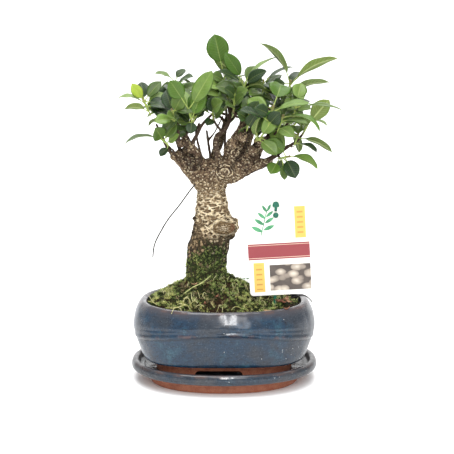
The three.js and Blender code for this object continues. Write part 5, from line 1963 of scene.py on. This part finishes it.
def build_camera():
    data = bpy.data.cameras.new("camera")
    data.lens = CAMERA["lens"]
    data.sensor_width = 36
    data.clip_end = 50
    camera = new_object("camera", data)
    camera.location = Vector(CAMERA["place"]) * MM
    camera.rotation_euler = (math.radians(90 - CAMERA["pitch"]), 0, 0)
    bpy.context.scene.camera = camera


# ---------------------------------------------------------------- operators

class BONSAI_OT_stage(bpy.types.Operator):
    """Make the backdrop, the lights and the camera"""
    bl_idname = "bonsai.stage"
    bl_label = "Stage"

    def execute(self, context):
        build_backdrop(context.scene.bonsai_stage)
        build_lights(context.scene.bonsai_stage)
        build_camera()
        context.scene.view_settings.view_transform = "Standard"
        return {"FINISHED"}


class BONSAI_OT_ware(bpy.types.Operator):
    """Make the glazed saucer and pot"""
    bl_idname = "bonsai.ware"
    bl_label = "Saucer and Pot"

    def execute(self, context):
        build_saucer(context.scene.bonsai_ware)
        build_pot(context.scene.bonsai_ware)
        dress_hidden_nodes()
        return {"FINISHED"}


class BONSAI_OT_tree(bpy.types.Operator):
    """Make the trunk, limbs, twigs and aerial root"""
    bl_idname = "bonsai.tree"
    bl_label = "Tree"

    def execute(self, context):
        build_tree(context.scene.bonsai_bark)
        return {"FINISHED"}


class BONSAI_OT_leaves(bpy.types.Operator):
    """Make the leafy shoots"""
    bl_idname = "bonsai.leaves"
    bl_label = "Leaves"

    def execute(self, context):
        build_leaves(context.scene.bonsai_leaf)
        return {"FINISHED"}


class BONSAI_OT_moss(bpy.types.Operator):
    """Make the mossy ground and its tufts; the tree comes first"""
    bl_idname = "bonsai.moss"
    bl_label = "Moss"

    def execute(self, context):
        build_moss_ground()
        build_moss(context.scene.bonsai_moss)
        return {"FINISHED"}


class BONSAI_OT_litter(bpy.types.Operator):
    """Make the straws, scraps and weeds on the moss"""
    bl_idname = "bonsai.litter"
    bl_label = "Litter"

    def execute(self, context):
        build_litter()
        return {"FINISHED"}


class BONSAI_OT_label(bpy.types.Operator):
    """Make the plant label and its pick"""
    bl_idname = "bonsai.label"
    bl_label = "Label"

    def execute(self, context):
        build_label(context.scene.bonsai_label)
        build_pick(context.scene.bonsai_label)
        return {"FINISHED"}


class BONSAI_PT_panel(bpy.types.Panel):
    bl_idname = "BONSAI_PT_panel"
    bl_label = "Bonsai"
    bl_space_type = "VIEW_3D"
    bl_region_type = "UI"
    bl_category = "Bonsai"

    def draw(self, context):
        for operator, group in STEPS:
            box = self.layout.box()
            box.operator(operator.bl_idname)
            if group:
                settings = getattr(context.scene, group)
                for name in settings.__annotations__:
                    box.prop(settings, name)


STEPS = [  # operators in their order, and the settings they read
    (BONSAI_OT_stage, "bonsai_stage"), (BONSAI_OT_ware, "bonsai_ware"),
    (BONSAI_OT_tree, "bonsai_bark"), (BONSAI_OT_leaves, "bonsai_leaf"),
    (BONSAI_OT_moss, "bonsai_moss"), (BONSAI_OT_litter, None), (BONSAI_OT_label, "bonsai_label"),
]
SETTINGS = {
    "bonsai_stage": StageSettings, "bonsai_ware": WareSettings, "bonsai_bark": BarkSettings,
    "bonsai_leaf": LeafSettings, "bonsai_moss": MossSettings, "bonsai_label": LabelSettings,
}


def register():
    for group in SETTINGS.values():
        bpy.utils.register_class(group)
    for operator, _ in STEPS:
        bpy.utils.register_class(operator)
    bpy.utils.register_class(BONSAI_PT_panel)
    for name, group in SETTINGS.items():
        setattr(bpy.types.Scene, name, PointerProperty(type=group))


def unregister():
    for name in SETTINGS:
        delattr(bpy.types.Scene, name)
    bpy.utils.unregister_class(BONSAI_PT_panel)
    for operator, _ in reversed(STEPS):
        bpy.utils.unregister_class(operator)
    for group in reversed(SETTINGS.values()):
        bpy.utils.unregister_class(group)


def main():
    register()
    for operator, _ in STEPS:
        getattr(bpy.ops.bonsai, operator.bl_idname.split(".")[1])()
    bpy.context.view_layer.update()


if __name__ == "__main__":
    main()
